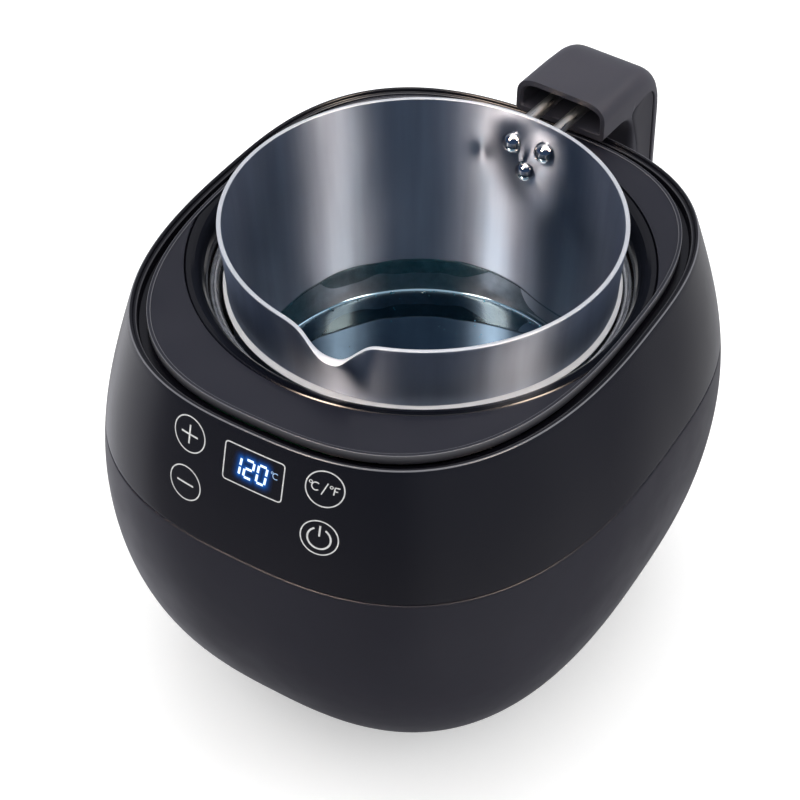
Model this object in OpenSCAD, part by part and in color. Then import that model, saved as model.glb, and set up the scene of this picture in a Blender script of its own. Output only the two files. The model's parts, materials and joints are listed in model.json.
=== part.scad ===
// Wax warmer: a heated base with a lift-out pouring pot.
// Millimetres. The origin is where the axis of the pot meets the underside of the base plate.
// +X is to the right, -Y is the front with the controls, +Y is the back with the handle, +Z is up.

/* [Body] */
// Height of the deck above the underside
deck_z = 160; // [156:1:166]
// Half width of the casing at its rim
rim_w = 85.3; // [84:0.1:88]
// Distance from the pot axis to the front of the rim
rim_front = 103.4; // [100:0.1:108]
// Distance from the pot axis to the back of the rim
rim_back = 94.6; // [92:0.1:96]
// How far the widest part of the casing bulges past the rim
belly_out = 14; // [10:0.5:16]
// Height of the widest part of the casing
belly_z = 90; // [86:1:94]
// Half width of the flat underside
base_w = 55; // [50:1:60]
// Squareness of the casing in plan: 2 is an ellipse
squareness = 2.7; // [2.5:0.05:3]
// Wall thickness of the plastic casing
wall = 3; // [2.5:0.1:3.5]
// Height of the joint line between the two casings
seam_z = 112; // [108:1:116]
// Width of the groove around the rim
groove_w = 5.6; // [5:0.1:6]

/* [Bowl] */
// Radius of the round opening in the deck
opening_r = 81.2; // [80.5:0.1:81.5]
// Depth of the heating bowl's rim below the deck
bowl_drop = 9.5; // [9:0.1:10.5]
// Radius of the heating bowl's rim
bowl_r = 73; // [72.8:0.1:74]
// Thickness of the aluminium bowl
bowl_t = 1.5; // [1:0.1:2]

/* [Pot] */
// Outer radius of the pot's rim
pot_r = 69.7; // [69.3:0.1:70]
// Height of the pot's rim above the deck
rim_rise = 15.5; // [14:0.5:18]
// Height of the pot
pot_h = 93; // [91:0.5:94]
// Thickness of the pot's wall
pot_t = 1.2; // [1:0.1:1.5]
// How far the pouring lip stands out past the rim
lip_out = 8; // [5:0.5:9]
// How far the tip of the lip dips below the rim
lip_dip = 2; // [1:0.1:2.5]
// Angle between the pouring lip and the line opposite the handle
lip_angle = 14.5; // [0:0.5:15]
// Depth of the wax in the pot
wax_depth = 5.5; // [5:0.5:40]

/* [Handle] */
// How far the pot is turned in the bowl, so that the handle leans to the right
pot_turn = 4.5; // [0:0.5:6]
// How far the loose pot sits off the bowl's axis, towards its handle
pot_shift = 1; // [0:0.1:1]
// Height of the handle rods above the deck
rod_rise = 9; // [8:0.5:10]
// Distance between the handle rods
rod_gap = 12; // [11:0.5:13]
// Radius of the handle rods
rod_r = 2.25; // [2:0.05:2.5]
// Width of the grip
grip_w = 38; // [36:1:40]
// Distance from the pot axis to the mouth of the grip
grip_y = 88; // [86:0.5:90]
// Length of the grip below the deck
grip_drop = 84; // [70:1:90]

/* [Hidden] */

gap = 0.15;              // general clearance between neighbouring pieces
cut = 1;                 // how far a cutting tool runs past what it cuts
foot_h = 3;              // the feet stand this far below the underside
oval_sides = 72;         // flats around the casing
pot_sides = 84;          // flats around the pot
gloss = [0.07, 0.07, 0.08];
satin = [0.16, 0.16, 0.17];
steel = [0.75, 0.75, 0.77];
alloy = [0.70, 0.73, 0.80];

// Casing sizes as [half width, front, back, y of the widest point]
rim_size = [rim_w, rim_front, rim_back, 9];
belly_size = rim_size + [1, 0.9, 1, 0] * belly_out;
base_size = [base_w, base_w + 7, base_w + 5, 0];

// ---------- curves ----------

function mix(a, b, t) = a + (b - a) * t;

function signed_pow(v, n) = sign(v) * pow(abs(v), n);

// Points of a squarish oval in plan, drawn in by d
function oval(size, d = 0) = [
    for (i = [0:oval_sides - 1])
        let (
            a = 360 * i / oval_sides,
            reach = sin(a) > 0 ? size[2] - size[3] : size[1] + size[3]
        )
        [
            (size[0] - d) * signed_pow(cos(a), 2 / squareness),
            size[3] + (reach - d) * signed_pow(sin(a), 2 / squareness)
        ]
];

// Size of the casing at height z: a sine bulge above the belly, a quarter ellipse below it
function casing_size(z) =
    z > belly_z
        ? mix(rim_size, belly_size, sin(90 * (deck_z - z) / (deck_z - belly_z)))
        : mix(base_size, belly_size, sqrt(1 - pow((belly_z - z) / belly_z, 2)));

function at_height(points, z) = [for (p = points) [p[0], p[1], z]];

function casing_ring(z, d = 0) = at_height(oval(casing_size(z), d), z);

function rim_ring(z, d) = at_height(oval(rim_size, d), z);

// Points on an arc in a half section, as [x, y]
function arc(centre, r, a0, a1, steps) = [
    for (i = [0:steps])
        let (a = mix(a0, a1, i / steps))
        centre + r * [cos(a), sin(a)]
];

// A closed surface through rings of equal length. The rings run up the outside first.
module skin(rings, loop = false) {
    n = len(rings[0]);
    m = len(rings);
    steps = loop ? m : m - 1;
    sides = [
        for (j = [0:steps - 1])
            for (i = [0:n - 1])
                let (
                    a = j * n + i,
                    b = j * n + (i + 1) % n,
                    c = ((j + 1) % m) * n + (i + 1) % n,
                    d = ((j + 1) % m) * n + i
                )
                each [[a, c, b], [a, d, c]]
    ];
    caps = loop ? [] : [
        [for (i = [0:n - 1]) i],
        [for (i = [n - 1:-1:0]) (m - 1) * n + i]
    ];
    polyhedron([for (r = rings) each r], concat(sides, caps), convexity = 10);
}

module ring(r_in, r_out, z, h) {
    translate([0, 0, z])
        difference() {
            cylinder(r = r_out, h = h, $fn = 96);
            translate([0, 0, -cut])
                cylinder(r = r_in, h = h + 2 * cut, $fn = 96);
        }
}

// A pan-head screw with its head down at z and its shank pointing up
module screw_up(r, length, head_r, head_h) {
    cylinder(r = head_r, h = head_h, $fn = 24);
    cylinder(r = r, h = head_h + length, $fn = 24);
}

// ---------- casing ----------

tongue_h = 4;            // overlap of the two casings behind the joint line
tongue_t = 1.2;
seam_gap = 0.5;          // open joint line
ledge_w = 12;            // turned-in floor of the lower casing
ledge_t = 4;
plate_t = 2;
ledge_z = plate_t + gap;
inlet_z = 35;
inlet_w = 24;
inlet_h = 16;
inlet_y = 82.5;

module lower_shell() {
    bands = 9;
    tongue_d = wall - tongue_t;
    outside = [
        for (i = [0:bands])
            let (a = mix(86, 0, i / bands))
            casing_ring(belly_z * (1 - sin(a)))
    ];
    inside = [
        for (i = [0:bands - 1])
            let (a = mix(0, 68, i / (bands - 1)))
            casing_ring(belly_z * (1 - sin(a)), wall)
    ];
    color(satin)
        difference() {
            skin(concat(
                outside,
                [
                    casing_ring(mix(belly_z, seam_z, 0.5)),
                    casing_ring(seam_z - seam_gap / 2),
                    casing_ring(seam_z - seam_gap / 2, tongue_d),
                    casing_ring(seam_z + tongue_h, tongue_d),
                    casing_ring(seam_z + tongue_h, wall),
                    casing_ring(mix(belly_z, seam_z, 0.5), wall)
                ],
                inside,
                [
                    at_height(oval(base_size, ledge_w), ledge_z + ledge_t),
                    at_height(oval(base_size, ledge_w), ledge_z),
                    at_height(oval(base_size, 2), ledge_z),
                    at_height(oval(base_size, 2), 0.2)
                ]
            ), loop = true);
            translate([-inlet_w / 2 - gap, inlet_y, inlet_z - inlet_h / 2 - gap])
                cube([inlet_w + 2 * gap, 30, inlet_h + 2 * gap]);
            base_screw_places()
                cylinder(r = 1.45, h = ledge_z + ledge_t - 1, $fn = 24);
        }
}

groove_step = 2.4;       // width of the shallow outer step of the groove
groove_depth = 4.5;
step_depth = 1.3;
edge_r = 0.6;            // rounding of the rim's edge
flange_w = 0.9;          // how far the groove's floor runs under the deck

module upper_shell() {
    color(gloss)
        difference() {
            union() {
                upper_casing();
                board_fixings(-boss_length)
                    cylinder(r = 3, h = boss_length - gap, $fn = 32);
            }
            board_fixings(-boss_length + 2.5)
                cylinder(r = 1.25, h = boss_length, $fn = 24);
        }
}

module upper_casing() {
    bands = 7;
    tongue_d = wall - tongue_t - gap;
    recess_z = seam_z + tongue_h + gap;
    floor_z = deck_z - groove_depth;
    skin(concat(
        [for (i = [0:bands]) casing_ring(mix(seam_z + seam_gap / 2, deck_z - edge_r, i / bands))],
        [
            rim_ring(deck_z, edge_r),
            rim_ring(deck_z, 2 * edge_r),
            rim_ring(deck_z - step_depth, 2 * edge_r + 0.2),
            rim_ring(deck_z - step_depth, groove_step),
            rim_ring(floor_z, groove_step + 0.3),
            rim_ring(floor_z, groove_w + flange_w),
            rim_ring(floor_z - 2, groove_w + flange_w),
            rim_ring(floor_z - 2, wall + 1)
        ],
        [for (i = [bands - 2:-1:1]) casing_ring(mix(recess_z, deck_z - edge_r, i / bands), wall)],
        [
            casing_ring(recess_z, wall),
            casing_ring(recess_z, tongue_d),
            casing_ring(seam_z + seam_gap / 2, tongue_d)
        ]
    ), loop = true);
}

deck_t = 3;
lip_w = 1.2;
lip_h = 0.4;
deck_d = groove_w;                 // the deck's edge is the groove's inner wall
collar_gap = 0.35;                 // leaves a fine dark line around the opening
collar_wall_r = opening_r - collar_gap;
lug_r = 88;                        // radius of the collar's screw lugs
lug_turn = 45;

// The part of the children that stays clear of the deck's lip by d. At both sides the lip runs
// closer to the axis than the round opening does.
module inside_lip(d) {
    intersection() {
        children();
        linear_extrude(deck_z + lip_h + 1)
            polygon(oval(rim_size, deck_d + lip_w + d));
    }
}

module top_deck() {
    boss_h = 5;
    color([0.22, 0.22, 0.23])
        difference() {
            union() {
                translate([0, 0, deck_z - deck_t])
                    linear_extrude(deck_t)
                        polygon(oval(rim_size, deck_d));
                translate([0, 0, deck_z - gap])
                    linear_extrude(lip_h + gap)
                        difference() {
                            polygon(oval(rim_size, deck_d));
                            polygon(oval(rim_size, deck_d + lip_w));
                        }
                for (a = [lug_turn:90:359])
                    rotate(a)
                        translate([lug_r, 0, deck_z - deck_t - boss_h])
                            cylinder(r = 3.4, h = boss_h + 1, $fn = 32);
            }
            translate([0, 0, deck_z - deck_t - cut])
                inside_lip(0)
                    cylinder(r = opening_r, h = deck_t + lip_h + 2 * cut, $fn = 128);
            for (a = [lug_turn:90:359])
                rotate(a)
                    translate([lug_r, 0, deck_z - deck_t - boss_h - cut])
                        cylinder(r = 1.3, h = boss_h + cut + 1, $fn = 24);
        }
}

// ---------- bowl and heater ----------

bowl_z = deck_z - bowl_drop;       // top of the bowl's rim
pot_z = deck_z + rim_rise - pot_h; // underside of the pot
bowl_floor = pot_z - gap;          // inside floor of the bowl
gasket_t = 1.3;
collar_ledge_z = bowl_z - bowl_t - gasket_t;
collar_foot_z = collar_ledge_z - 2;
collar_ledge_r = 71.6;             // inner edge of the ledge under the bowl's rim
lug_z = deck_z - deck_t - 5 - gap;

module bowl_collar() {
    throat = bowl_r + 0.4;
    color(gloss) {
        inside_lip(collar_gap)
            rotate_extrude($fn = 128)
                polygon(concat(
                    [[collar_ledge_r, collar_foot_z], [collar_wall_r, collar_foot_z]],
                    [[collar_wall_r, deck_z - 0.7], [collar_wall_r - 0.5, deck_z - 0.3]],
                    [
                        for (i = [0:8])
                            let (a = mix(90, 0, i / 8))
                            [
                                throat + (collar_wall_r - 0.8 - throat) * (1 - cos(a)),
                                mix(bowl_z, deck_z - 0.3, sin(a))
                            ]
                    ],
                    [[throat, collar_ledge_z], [collar_ledge_r, collar_ledge_z]]
                ));
        for (a = [lug_turn:90:359])
            rotate(a)
                collar_lug();
    }
}

module collar_lug() {
    difference() {
        union() {
            translate([lug_r, 0, lug_z - 2])
                cylinder(r = 4, h = 2, $fn = 32);
            translate([collar_wall_r - 1, -4, lug_z - 2])
                cube([lug_r - collar_wall_r + 1, 8, 2]);
        }
        translate([lug_r, 0, lug_z - 2 - cut])
            cylinder(r = 1.7, h = 2 + 2 * cut, $fn = 24);
    }
}

module collar_screws() {
    color(steel)
        for (a = [lug_turn:90:359])
            rotate(a)
                translate([lug_r, 0, lug_z - 2 - 1.8 - gap])
                    screw_up(1.25, 6, 2.8, 1.8);
}

module bowl_gasket() {
    color([0.75, 0.25, 0.2])
        ring(71.8, bowl_r - 0.1, collar_ledge_z, gasket_t);
}

bowl_wall_top = 69.9;    // inner radius of the bowl just below its rim
bowl_wall_low = 68;      // inner radius above its bottom corner
bowl_corner = 10;

module heating_bowl() {
    corner = [bowl_wall_low - bowl_corner, bowl_floor + bowl_corner];
    color(alloy)
        rotate_extrude($fn = 128)
            polygon(concat(
                [[0, bowl_floor - bowl_t]],
                arc(corner, bowl_corner + bowl_t, -90, 0, 8),
                [[bowl_wall_top + bowl_t - 0.6, bowl_z - bowl_t], [bowl_r, bowl_z - bowl_t]],
                arc([bowl_r - 0.75, bowl_z - 0.75], 0.75, 0, 90, 3),
                [[bowl_r - 1.3, bowl_z - 0.3], [bowl_wall_top + 1.4, bowl_z - 0.1]],
                [[bowl_wall_top + 0.9, bowl_z - 0.6], [bowl_wall_top, bowl_z - 2.2]],
                arc(corner, bowl_corner, 0, -90, 8),
                [[0, bowl_floor]]
            ));
}

heater_r = 38;
heater_tube_r = 4;
heater_plate_t = 3;
heater_plate_z = bowl_floor - bowl_t - heater_plate_t;
heater_z = heater_plate_z - heater_tube_r - gap;
heater_end = 20;         // half angle of the gap between the heater's ends

module heater_plate() {
    color([0.6, 0.62, 0.65])
        translate([0, 0, heater_plate_z])
            cylinder(r = 50, h = heater_plate_t, $fn = 96);
}

module heating_element() {
    color([0.35, 0.33, 0.32])
        rotate(90 + heater_end) {
            translate([0, 0, heater_z])
                rotate_extrude(angle = 360 - 2 * heater_end, $fn = 64)
                    translate([heater_r, 0])
                        circle(r = heater_tube_r, $fn = 32);
            for (a = [0, -2 * heater_end])
                rotate(a)
                    translate([heater_r, 0, heater_z])
                        heater_end_turn();
        }
}

// The heater's ends turn down through a knuckle to their terminals
module heater_end_turn() {
    sphere(r = heater_tube_r + 0.1, $fn = 48);
    translate([0, 0, -10])
        cylinder(r = heater_tube_r - 0.2, h = 10, $fn = 32);
    translate([0, 0, -16])
        cylinder(r = 1, h = 7, $fn = 24);
}

module element_clamp() {
    clamp_t = 2;
    clamp_z = heater_z - heater_tube_r - gap - clamp_t;
    color(steel)
        for (a = [-30, 90 + 60, 270])
            rotate(a)
                difference() {
                    union() {
                        translate([heater_r - 14, -6, clamp_z])
                            cube([28, 12, clamp_t]);
                        for (x = [heater_r - 12, heater_r + 8])
                            translate([x, -6, clamp_z])
                                cube([4, 12, heater_plate_z - clamp_z]);
                    }
                    translate([heater_r, 0, clamp_z - cut])
                        cylinder(r = 2, h = clamp_t + 2 * cut, $fn = 24);
                }
}

module temperature_sensor() {
    color([0.8, 0.7, 0.3])
        translate([0, 12, heater_plate_z - 9]) {
            cylinder(r = 3, h = 9, $fn = 32);
            cylinder(r = 4.5, h = 2, $fn = 32);
        }
}

module thermal_fuse() {
    fuse_z = heater_plate_z - 2.4;
    color([0.9, 0.9, 0.88])
        translate([-7, -12, fuse_z])
            rotate([0, 90, 0]) {
                cylinder(r = 2.2, h = 14, $fn = 32);
                translate([0, 0, -6])
                    cylinder(r = 0.5, h = 26, $fn = 16);
            }
}

shield_r = 77;
shield_t = 0.8;
shield_hole_r = 4;
shield_top = collar_foot_z - gap;
shield_bottom = heater_z - 22;

module insulation() {
    color([0.93, 0.92, 0.86])
        ring(bowl_wall_top + bowl_t + 0.4, shield_r - shield_t - 0.3, bowl_floor - 6,
            shield_top - 1 - bowl_floor + 6);
}

module heat_shield() {
    color(steel)
        difference() {
            translate([0, 0, shield_bottom])
                cylinder(r = shield_r, h = shield_top - shield_bottom, $fn = 96);
            translate([0, 0, shield_bottom + shield_t])
                cylinder(r = shield_r - shield_t, h = shield_top - shield_bottom, $fn = 96);
            // Two of the holes let the heater's ends through and the others are vents
            for (a = [0:2 * heater_end:359])
                rotate(a + 90 - heater_end)
                    translate([heater_r, 0, shield_bottom - cut])
                        cylinder(r = shield_hole_r, h = 3 * cut, $fn = 24);
        }
}

// ---------- controls ----------

panel_z = deck_z - 20;   // height of the middle of the control panel
panel_lean = 14;         // lean of the casing's front there
board_t = 1.6;
board_w = 74;
board_top_h = 12;        // board above the panel's middle
board_low_h = 15;        // board below it
board_y = -96;
boss_length = 8.5;       // bosses from the casing to the board
key_x = 25;
key_low = -9.5;          // height of the lower keys from the panel's middle
spring_top = 5.5;        // the upper springs sit a little below their keys

module on_panel() {
    translate([0, board_y, panel_z])
        rotate([-panel_lean, 0, 0])
            children();
}

// Fixing points of the control board. The children's +Z runs inward, from y in front of the board.
module board_fixings(y) {
    for (x = [-board_w / 2 + 4, board_w / 2 - 4])
        for (z = [4 - board_low_h, board_top_h - 4])
            on_panel()
                translate([x, y, z])
                    rotate([-90, 0, 0])
                        children();
}

module control_board() {
    color([0.05, 0.3, 0.15])
        difference() {
            on_panel()
                translate([-board_w / 2, 0, -board_low_h])
                    cube([board_w, board_t, board_low_h + board_top_h]);
            board_fixings(-cut)
                cylinder(r = 1.6, h = board_t + 2 * cut, $fn = 24);
        }
}

module panel_screws() {
    color(steel)
        board_fixings(-4.5) {
            cylinder(r = 1.2, h = 4.5 + board_t + gap, $fn = 24);
            translate([0, 0, 4.5 + board_t + gap])
                cylinder(r = 2.6, h = 1.6, $fn = 24);
        }
}

module display_module() {
    color([0.1, 0.1, 0.12])
        on_panel()
            translate([-12, -5 - gap, -3]) {
                cube([24, 5, 14]);
                translate([1.5, -0.5, 1.5])
                    cube([21, 0.6, 11]);
            }
}

module touch_springs() {
    spring_h = 5.6;
    color(steel)
        on_panel()
            for (x = [-key_x, key_x])
                for (z = [key_low, spring_top])
                    translate([x, -gap, z])
                        rotate([90, 0, 0])
                            spring_coil(3.2, 0.5, spring_h);
}

// A short coil spring drawn as stacked turns joined by a post
module spring_coil(r, wire_r, h) {
    turns = 5;
    for (i = [0:turns - 1])
        translate([0, 0, wire_r + i * (h - 2 * wire_r) / (turns - 1)])
            rotate_extrude($fn = 32)
                translate([r, 0])
                    circle(r = wire_r, $fn = 16);
    translate([r, 0, wire_r])
        cylinder(r = 0.7 * wire_r, h = h - 2 * wire_r, $fn = 16);
}

// ---------- power ----------

pcb_z = 19;
pcb_w = 72;
pcb_d = 56;
pcb_y = -8;
standoff_h = pcb_z - plate_t - gap;

module power_board() {
    color([0.05, 0.3, 0.15])
        difference() {
            translate([-pcb_w / 2, pcb_y - pcb_d / 2, pcb_z])
                cube([pcb_w, pcb_d, board_t]);
            board_holes()
                translate([0, 0, pcb_z - cut])
                    cylinder(r = 1.7, h = board_t + 2 * cut, $fn = 24);
        }
}

module board_holes() {
    for (x = [-1, 1])
        for (y = [-1, 1])
            translate([x * (pcb_w / 2 - 5), pcb_y + y * (pcb_d / 2 - 5), 0])
                children();
}

module board_screws() {
    color(steel)
        board_holes()
            translate([0, 0, pcb_z + board_t + gap])
                mirror([0, 0, 1])
                    translate([0, 0, -1.8])
                        screw_up(1.25, 8, 2.6, 1.8);
}

board_top = pcb_z + board_t + gap;

module transformer() {
    color([0.75, 0.6, 0.15])
        translate([-30, pcb_y - 14, board_top]) {
            cube([24, 22, 4]);
            translate([2, 2, 4 - gap])
                cube([20, 18, 12]);
        }
}

module relay() {
    color([0.1, 0.25, 0.6])
        translate([2, pcb_y - 12, board_top])
            cube([19, 15, 15]);
}

module filter_capacitor() {
    color([0.15, 0.15, 0.5])
        translate([28, pcb_y + 8, board_top])
            cylinder(r = 6, h = 16, $fn = 32);
}

module terminal_block() {
    color([0.1, 0.45, 0.2])
        translate([-18, pcb_y + 14, board_top])
            difference() {
                cube([30, 10, 11]);
                for (i = [0:3])
                    translate([5 + i * 6.7, 5, 4])
                        cylinder(r = 2.2, h = 8, $fn = 24);
            }
}

lead_r = 1.1;

// A round lead through a list of points
module lead(points) {
    for (i = [0:len(points) - 2])
        lead_leg(points[i], points[i + 1]);
    for (i = [1:len(points) - 2])
        translate(points[i])
            sphere(r = 1.2 * lead_r, $fn = 24);
}

module lead_leg(a, b) {
    v = b - a;
    length = norm(v);
    translate(a)
        rotate([0, acos(v[2] / length), atan2(v[1], v[0])])
            cylinder(r = lead_r, h = length, $fn = 24);
}

terminal_y = pcb_y + 19;
lead_z = board_top + 11 + 0.5;

module heater_leads() {
    end_x = heater_r * sin(heater_end);
    end_y = heater_r * cos(heater_end);
    drop_z = shield_bottom - 4;
    color([0.85, 0.2, 0.15])
        for (side = [-1, 1])
            lead([
                [side * end_x, end_y, heater_z - 16.3],
                [side * end_x, end_y, drop_z],
                [side * 3.35 - 3, terminal_y, drop_z - 4],
                [side * 3.35 - 3, terminal_y, lead_z - 6]
            ]);
}

module mains_leads() {
    color([0.5, 0.35, 0.2])
        for (side = [-1, 1])
            lead([
                [side * 5, inlet_y - 1.5, inlet_z],
                [side * 5, inlet_y - 18, inlet_z + 4],
                [side * 10.05 - 3, terminal_y, lead_z + 4],
                [side * 10.05 - 3, terminal_y, lead_z - 6]
            ]);
}

module ribbon_cable() {
    cable_w = 14;
    cable_t = 0.8;
    run_z = 45;
    run_y = 64;
    color([0.6, 0.6, 0.62])
        translate([-cable_w / 2 + 20, 0, 0]) {
            translate([0, board_y + 6, run_z])
                cube([cable_w, cable_t, panel_z - board_low_h - 8 - run_z]);
            translate([0, board_y + 6, run_z])
                cube([cable_w, run_y, cable_t]);
            translate([0, board_y + 6 + run_y - cable_t, board_top])
                cube([cable_w, cable_t, run_z - board_top + cable_t]);
        }
}

module power_inlet() {
    color([0.1, 0.1, 0.11])
        translate([-inlet_w / 2, inlet_y, inlet_z - inlet_h / 2])
            difference() {
                cube([inlet_w, 12, inlet_h]);
                translate([4, 3, 3])
                    cube([inlet_w - 8, 12, inlet_h - 6]);
                for (side = [-1, 1])
                    translate([inlet_w / 2 + side * 5, -cut, inlet_h / 2])
                        rotate([-90, 0, 0])
                            cylinder(r = 1.25, h = 5, $fn = 24);
            }
}

module inlet_pins() {
    color(steel)
        for (side = [-1, 1])
            translate([side * 5, inlet_y - 1, inlet_z])
                rotate([-90, 0, 0])
                    cylinder(r = 1.2, h = 10, $fn = 24);
}

// ---------- underside ----------

module base_screw_places() {
    for (x = [-1, 1])
        for (y = [-1, 1])
            translate([x * base_w * 0.42, y * (base_w - 4), 0])
                children();
}

module foot_places() {
    for (x = [-1, 1])
        for (y = [-1, 1])
            translate([x * base_w * 0.5, y * base_w * 0.745, 0])
                children();
}

module base_plate() {
    vent_w = 2;
    foot_hole_r = 2.6;
    color(satin)
        difference() {
            union() {
                linear_extrude(plate_t)
                    polygon(oval(base_size, 2 + gap));
                board_holes()
                    translate([0, 0, plate_t - gap])
                        cylinder(r = 3.5, h = standoff_h + gap, $fn = 32);
            }
            board_holes()
                translate([0, 0, pcb_z - 9])
                    cylinder(r = 1.35, h = 9 + cut, $fn = 24);
            for (x = [-20:5:20])
                translate([x - vent_w / 2, -20, -cut])
                    cube([vent_w, 40, plate_t + 2 * cut]);
            field_groove();
            base_screw_places()
                translate([0, 0, -cut])
                    cylinder(r = 1.8, h = plate_t + 2 * cut, $fn = 24);
            foot_places()
                translate([0, 0, -cut])
                    cylinder(r = foot_hole_r, h = plate_t + 2 * cut, $fn = 24);
        }
}

// A fine groove that frames the flat field around the vents
module field_groove() {
    field_w = 52;
    field_d = 56;
    line_w = 1;
    translate([0, 0, -cut])
        linear_extrude(cut + 0.5)
            difference() {
                square([field_w + 2 * line_w, field_d + 2 * line_w], center = true);
                square([field_w, field_d], center = true);
            }
}

module base_screws() {
    head_h = 1.4;
    color(steel)
        base_screw_places()
            translate([0, 0, -head_h - gap])
                screw_up(1.4, plate_t + 3, 3, head_h);
}

module rubber_feet() {
    color([0.1, 0.1, 0.1])
        foot_places()
            translate([0, 0, -foot_h]) {
                cylinder(r1 = 6.6, r2 = 7, h = foot_h - gap, $fn = 48);
                cylinder(r = 2.5, h = foot_h + plate_t - gap, $fn = 24);
            }
}

// ---------- pot ----------

module turned() {
    rotate(-pot_turn)
        children();
}

module pot_place() {
    turned()
        translate([0, pot_shift, 0])
            children();
}

lower_r = 64.5;          // outer radius of the wall above its bottom corner
upper_r = pot_r - 0.4;   // outer radius of the wall at the rim
pot_corner = 10;
pot_foot = pot_z - deck_z + pot_corner;  // where the cone starts, above the deck
bead_out = 1.4;          // the bead around the outside
bead_z = -10;
dent_depth = 2.2;        // how far the handle's bracket dents the wall

function wall_r(z) = mix(lower_r, upper_r, (z - pot_foot) / (rim_rise - pot_foot));

// Outline of the pot's wall from the floor to the rim, as [radius, height above deck]
function pot_wall(d, bead = 0) = concat(
    arc([lower_r - pot_corner, pot_foot], pot_corner - d, -90, 0, 5),
    [
        [wall_r(bead_z - 1.6) - d, bead_z - 1.6],
        [wall_r(bead_z) + bead - d, bead_z - 0.8],
        [wall_r(bead_z) + bead - d, bead_z - 0.1],
        [wall_r(bead_z + 1.1) - d, bead_z + 1.1]
    ],
    [for (z = [-5:3:rim_rise - 2.5]) [wall_r(z) - d, z]]
);

// How strongly the pouring lip and the handle's dent shape the wall at height z and angle a.
// The lip's left flank is long and its right flank is short.
function lip_share(a, z) =
    let (
        off = a - 270 - lip_angle,
        width = off < 0 ? 11 : 4.5
    )
    exp(-pow(abs(off) / width, 1.8)) * pow(max(0, (z + 8) / (rim_rise + 8)), 2.2);

function dent_share(a, z) =
    exp(-pow((a - 90) / 11, 2)) * exp(-pow((z - 3) / 12, 2));

function pot_ring(r, z) = [
    for (i = [0:pot_sides - 1])
        let (
            a = 360 * i / pot_sides + lip_angle,
            out = r + lip_out * lip_share(a, z) - dent_depth * dent_share(a, z)
        )
        [out * cos(a), out * sin(a), deck_z + z - lip_dip * lip_share(a, z)]
];

module pot() {
    outer = pot_wall(0, bead_out);
    inner = pot_wall(pot_t);
    color(alloy)
        pot_place()
            difference() {
                skin(concat(
                    [for (p = outer) pot_ring(p[0], p[1])],
                    [
                        pot_ring(pot_r, rim_rise - 1.6),
                        pot_ring(pot_r, rim_rise - 0.5),
                        pot_ring(pot_r - 0.3, rim_rise),
                        pot_ring(upper_r - pot_t, rim_rise)
                    ],
                    [for (i = [len(inner) - 1:-1:0]) pot_ring(inner[i][0], inner[i][1])]
                ));
                rivet_holes();
            }
}

module wax() {
    color([0.03, 0.1, 0.2])
        pot_place()
            intersection() {
                rotate_extrude($fn = 96)
                    translate([0, deck_z])
                        polygon(concat(
                            [[0, pot_z - deck_z + pot_t + gap]],
                            pot_wall(pot_t + gap),
                            [[0, bead_z]]
                        ));
                translate([0, 0, pot_z])
                    cylinder(r = pot_r, h = pot_t + wax_depth, $fn = 96);
            }
}

// ---------- handle ----------

rivet_x = 7.2;
rivet_head_r = 3.3;
rivet_head_h = 2.8;
rivet_shank_r = 1.85;
rivet_length = 3.4;
bracket_y = 68;          // inner face of the handle bracket
bracket_t = 1.8;
bracket_w = 24;
bracket_bend = 0.8;      // how far the bracket's foot is bent in towards the pot
bracket_low = -8.6;      // the foot ends just above the bead

// Rivets as [x, height above the deck]
rivets = [[-rivet_x, 6], [rivet_x, 6], [0, -4.5]];

// The children's +Z runs outward through the wall, from the pot's inner face
module at_rivet(p) {
    turn = asin(p[0] / upper_r);
    inner_r = wall_r(p[1]) - pot_t - dent_depth * dent_share(90 - turn, p[1]);
    rotate(-turn)
        translate([0, inner_r, deck_z + p[1]])
            rotate([-90, 0, 0])
                children();
}

module rivet_holes() {
    for (p = rivets)
        at_rivet(p)
            cylinder(r = rivet_shank_r + 0.05, h = 12, center = true, $fn = 24);
}

module handle_bracket() {
    top = rod_rise + rod_r + 0.3;
    color(steel)
        pot_place()
            difference() {
                translate([-bracket_w / 2, bracket_y, deck_z])
                    rotate([90, 0, 90])
                        linear_extrude(bracket_w)
                            polygon([
                                [0, top], [0, -2], [-bracket_bend, bracket_low],
                                [bracket_t - bracket_bend, bracket_low], [bracket_t, -2], [bracket_t, top]
                            ]);
                rivet_holes();
            }
}

module handle_rivets() {
    ball_r = (pow(rivet_head_r, 2) + pow(rivet_head_h, 2)) / (2 * rivet_head_h);
    color([0.85, 0.85, 0.87])
        pot_place()
            for (p = rivets)
                at_rivet(p) {
                    difference() {
                        translate([0, 0, ball_r - rivet_head_h])
                            sphere(r = ball_r, $fn = 48);
                        translate([-ball_r, -ball_r, 0])
                            cube(2 * ball_r);
                    }
                    translate([0, 0, -0.2])
                        cylinder(r = rivet_shank_r, h = rivet_length + 0.2, $fn = 24);
                }
}

rod_z = deck_z + rod_rise;
rod_y0 = bracket_y + bracket_t + pot_shift + 0.02;
rod_y1 = 122;

module rod_places() {
    for (x = [-rod_gap / 2, rod_gap / 2])
        translate([x, 0, rod_z])
            children();
}

module handle_rods() {
    color(steel)
        turned()
            rod_places()
                translate([0, rod_y0, 0])
                    rotate([-90, 0, 0])
                        cylinder(r = rod_r, h = rod_y1 - rod_y0, $fn = 32);
}

module rod_bores() {
    rod_places()
        translate([0, rod_y0, 0])
            rotate([-90, 0, 0])
                cylinder(r = rod_r + 0.05, h = rod_y1 - rod_y0 + 0.2, $fn = 32);
}

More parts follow.
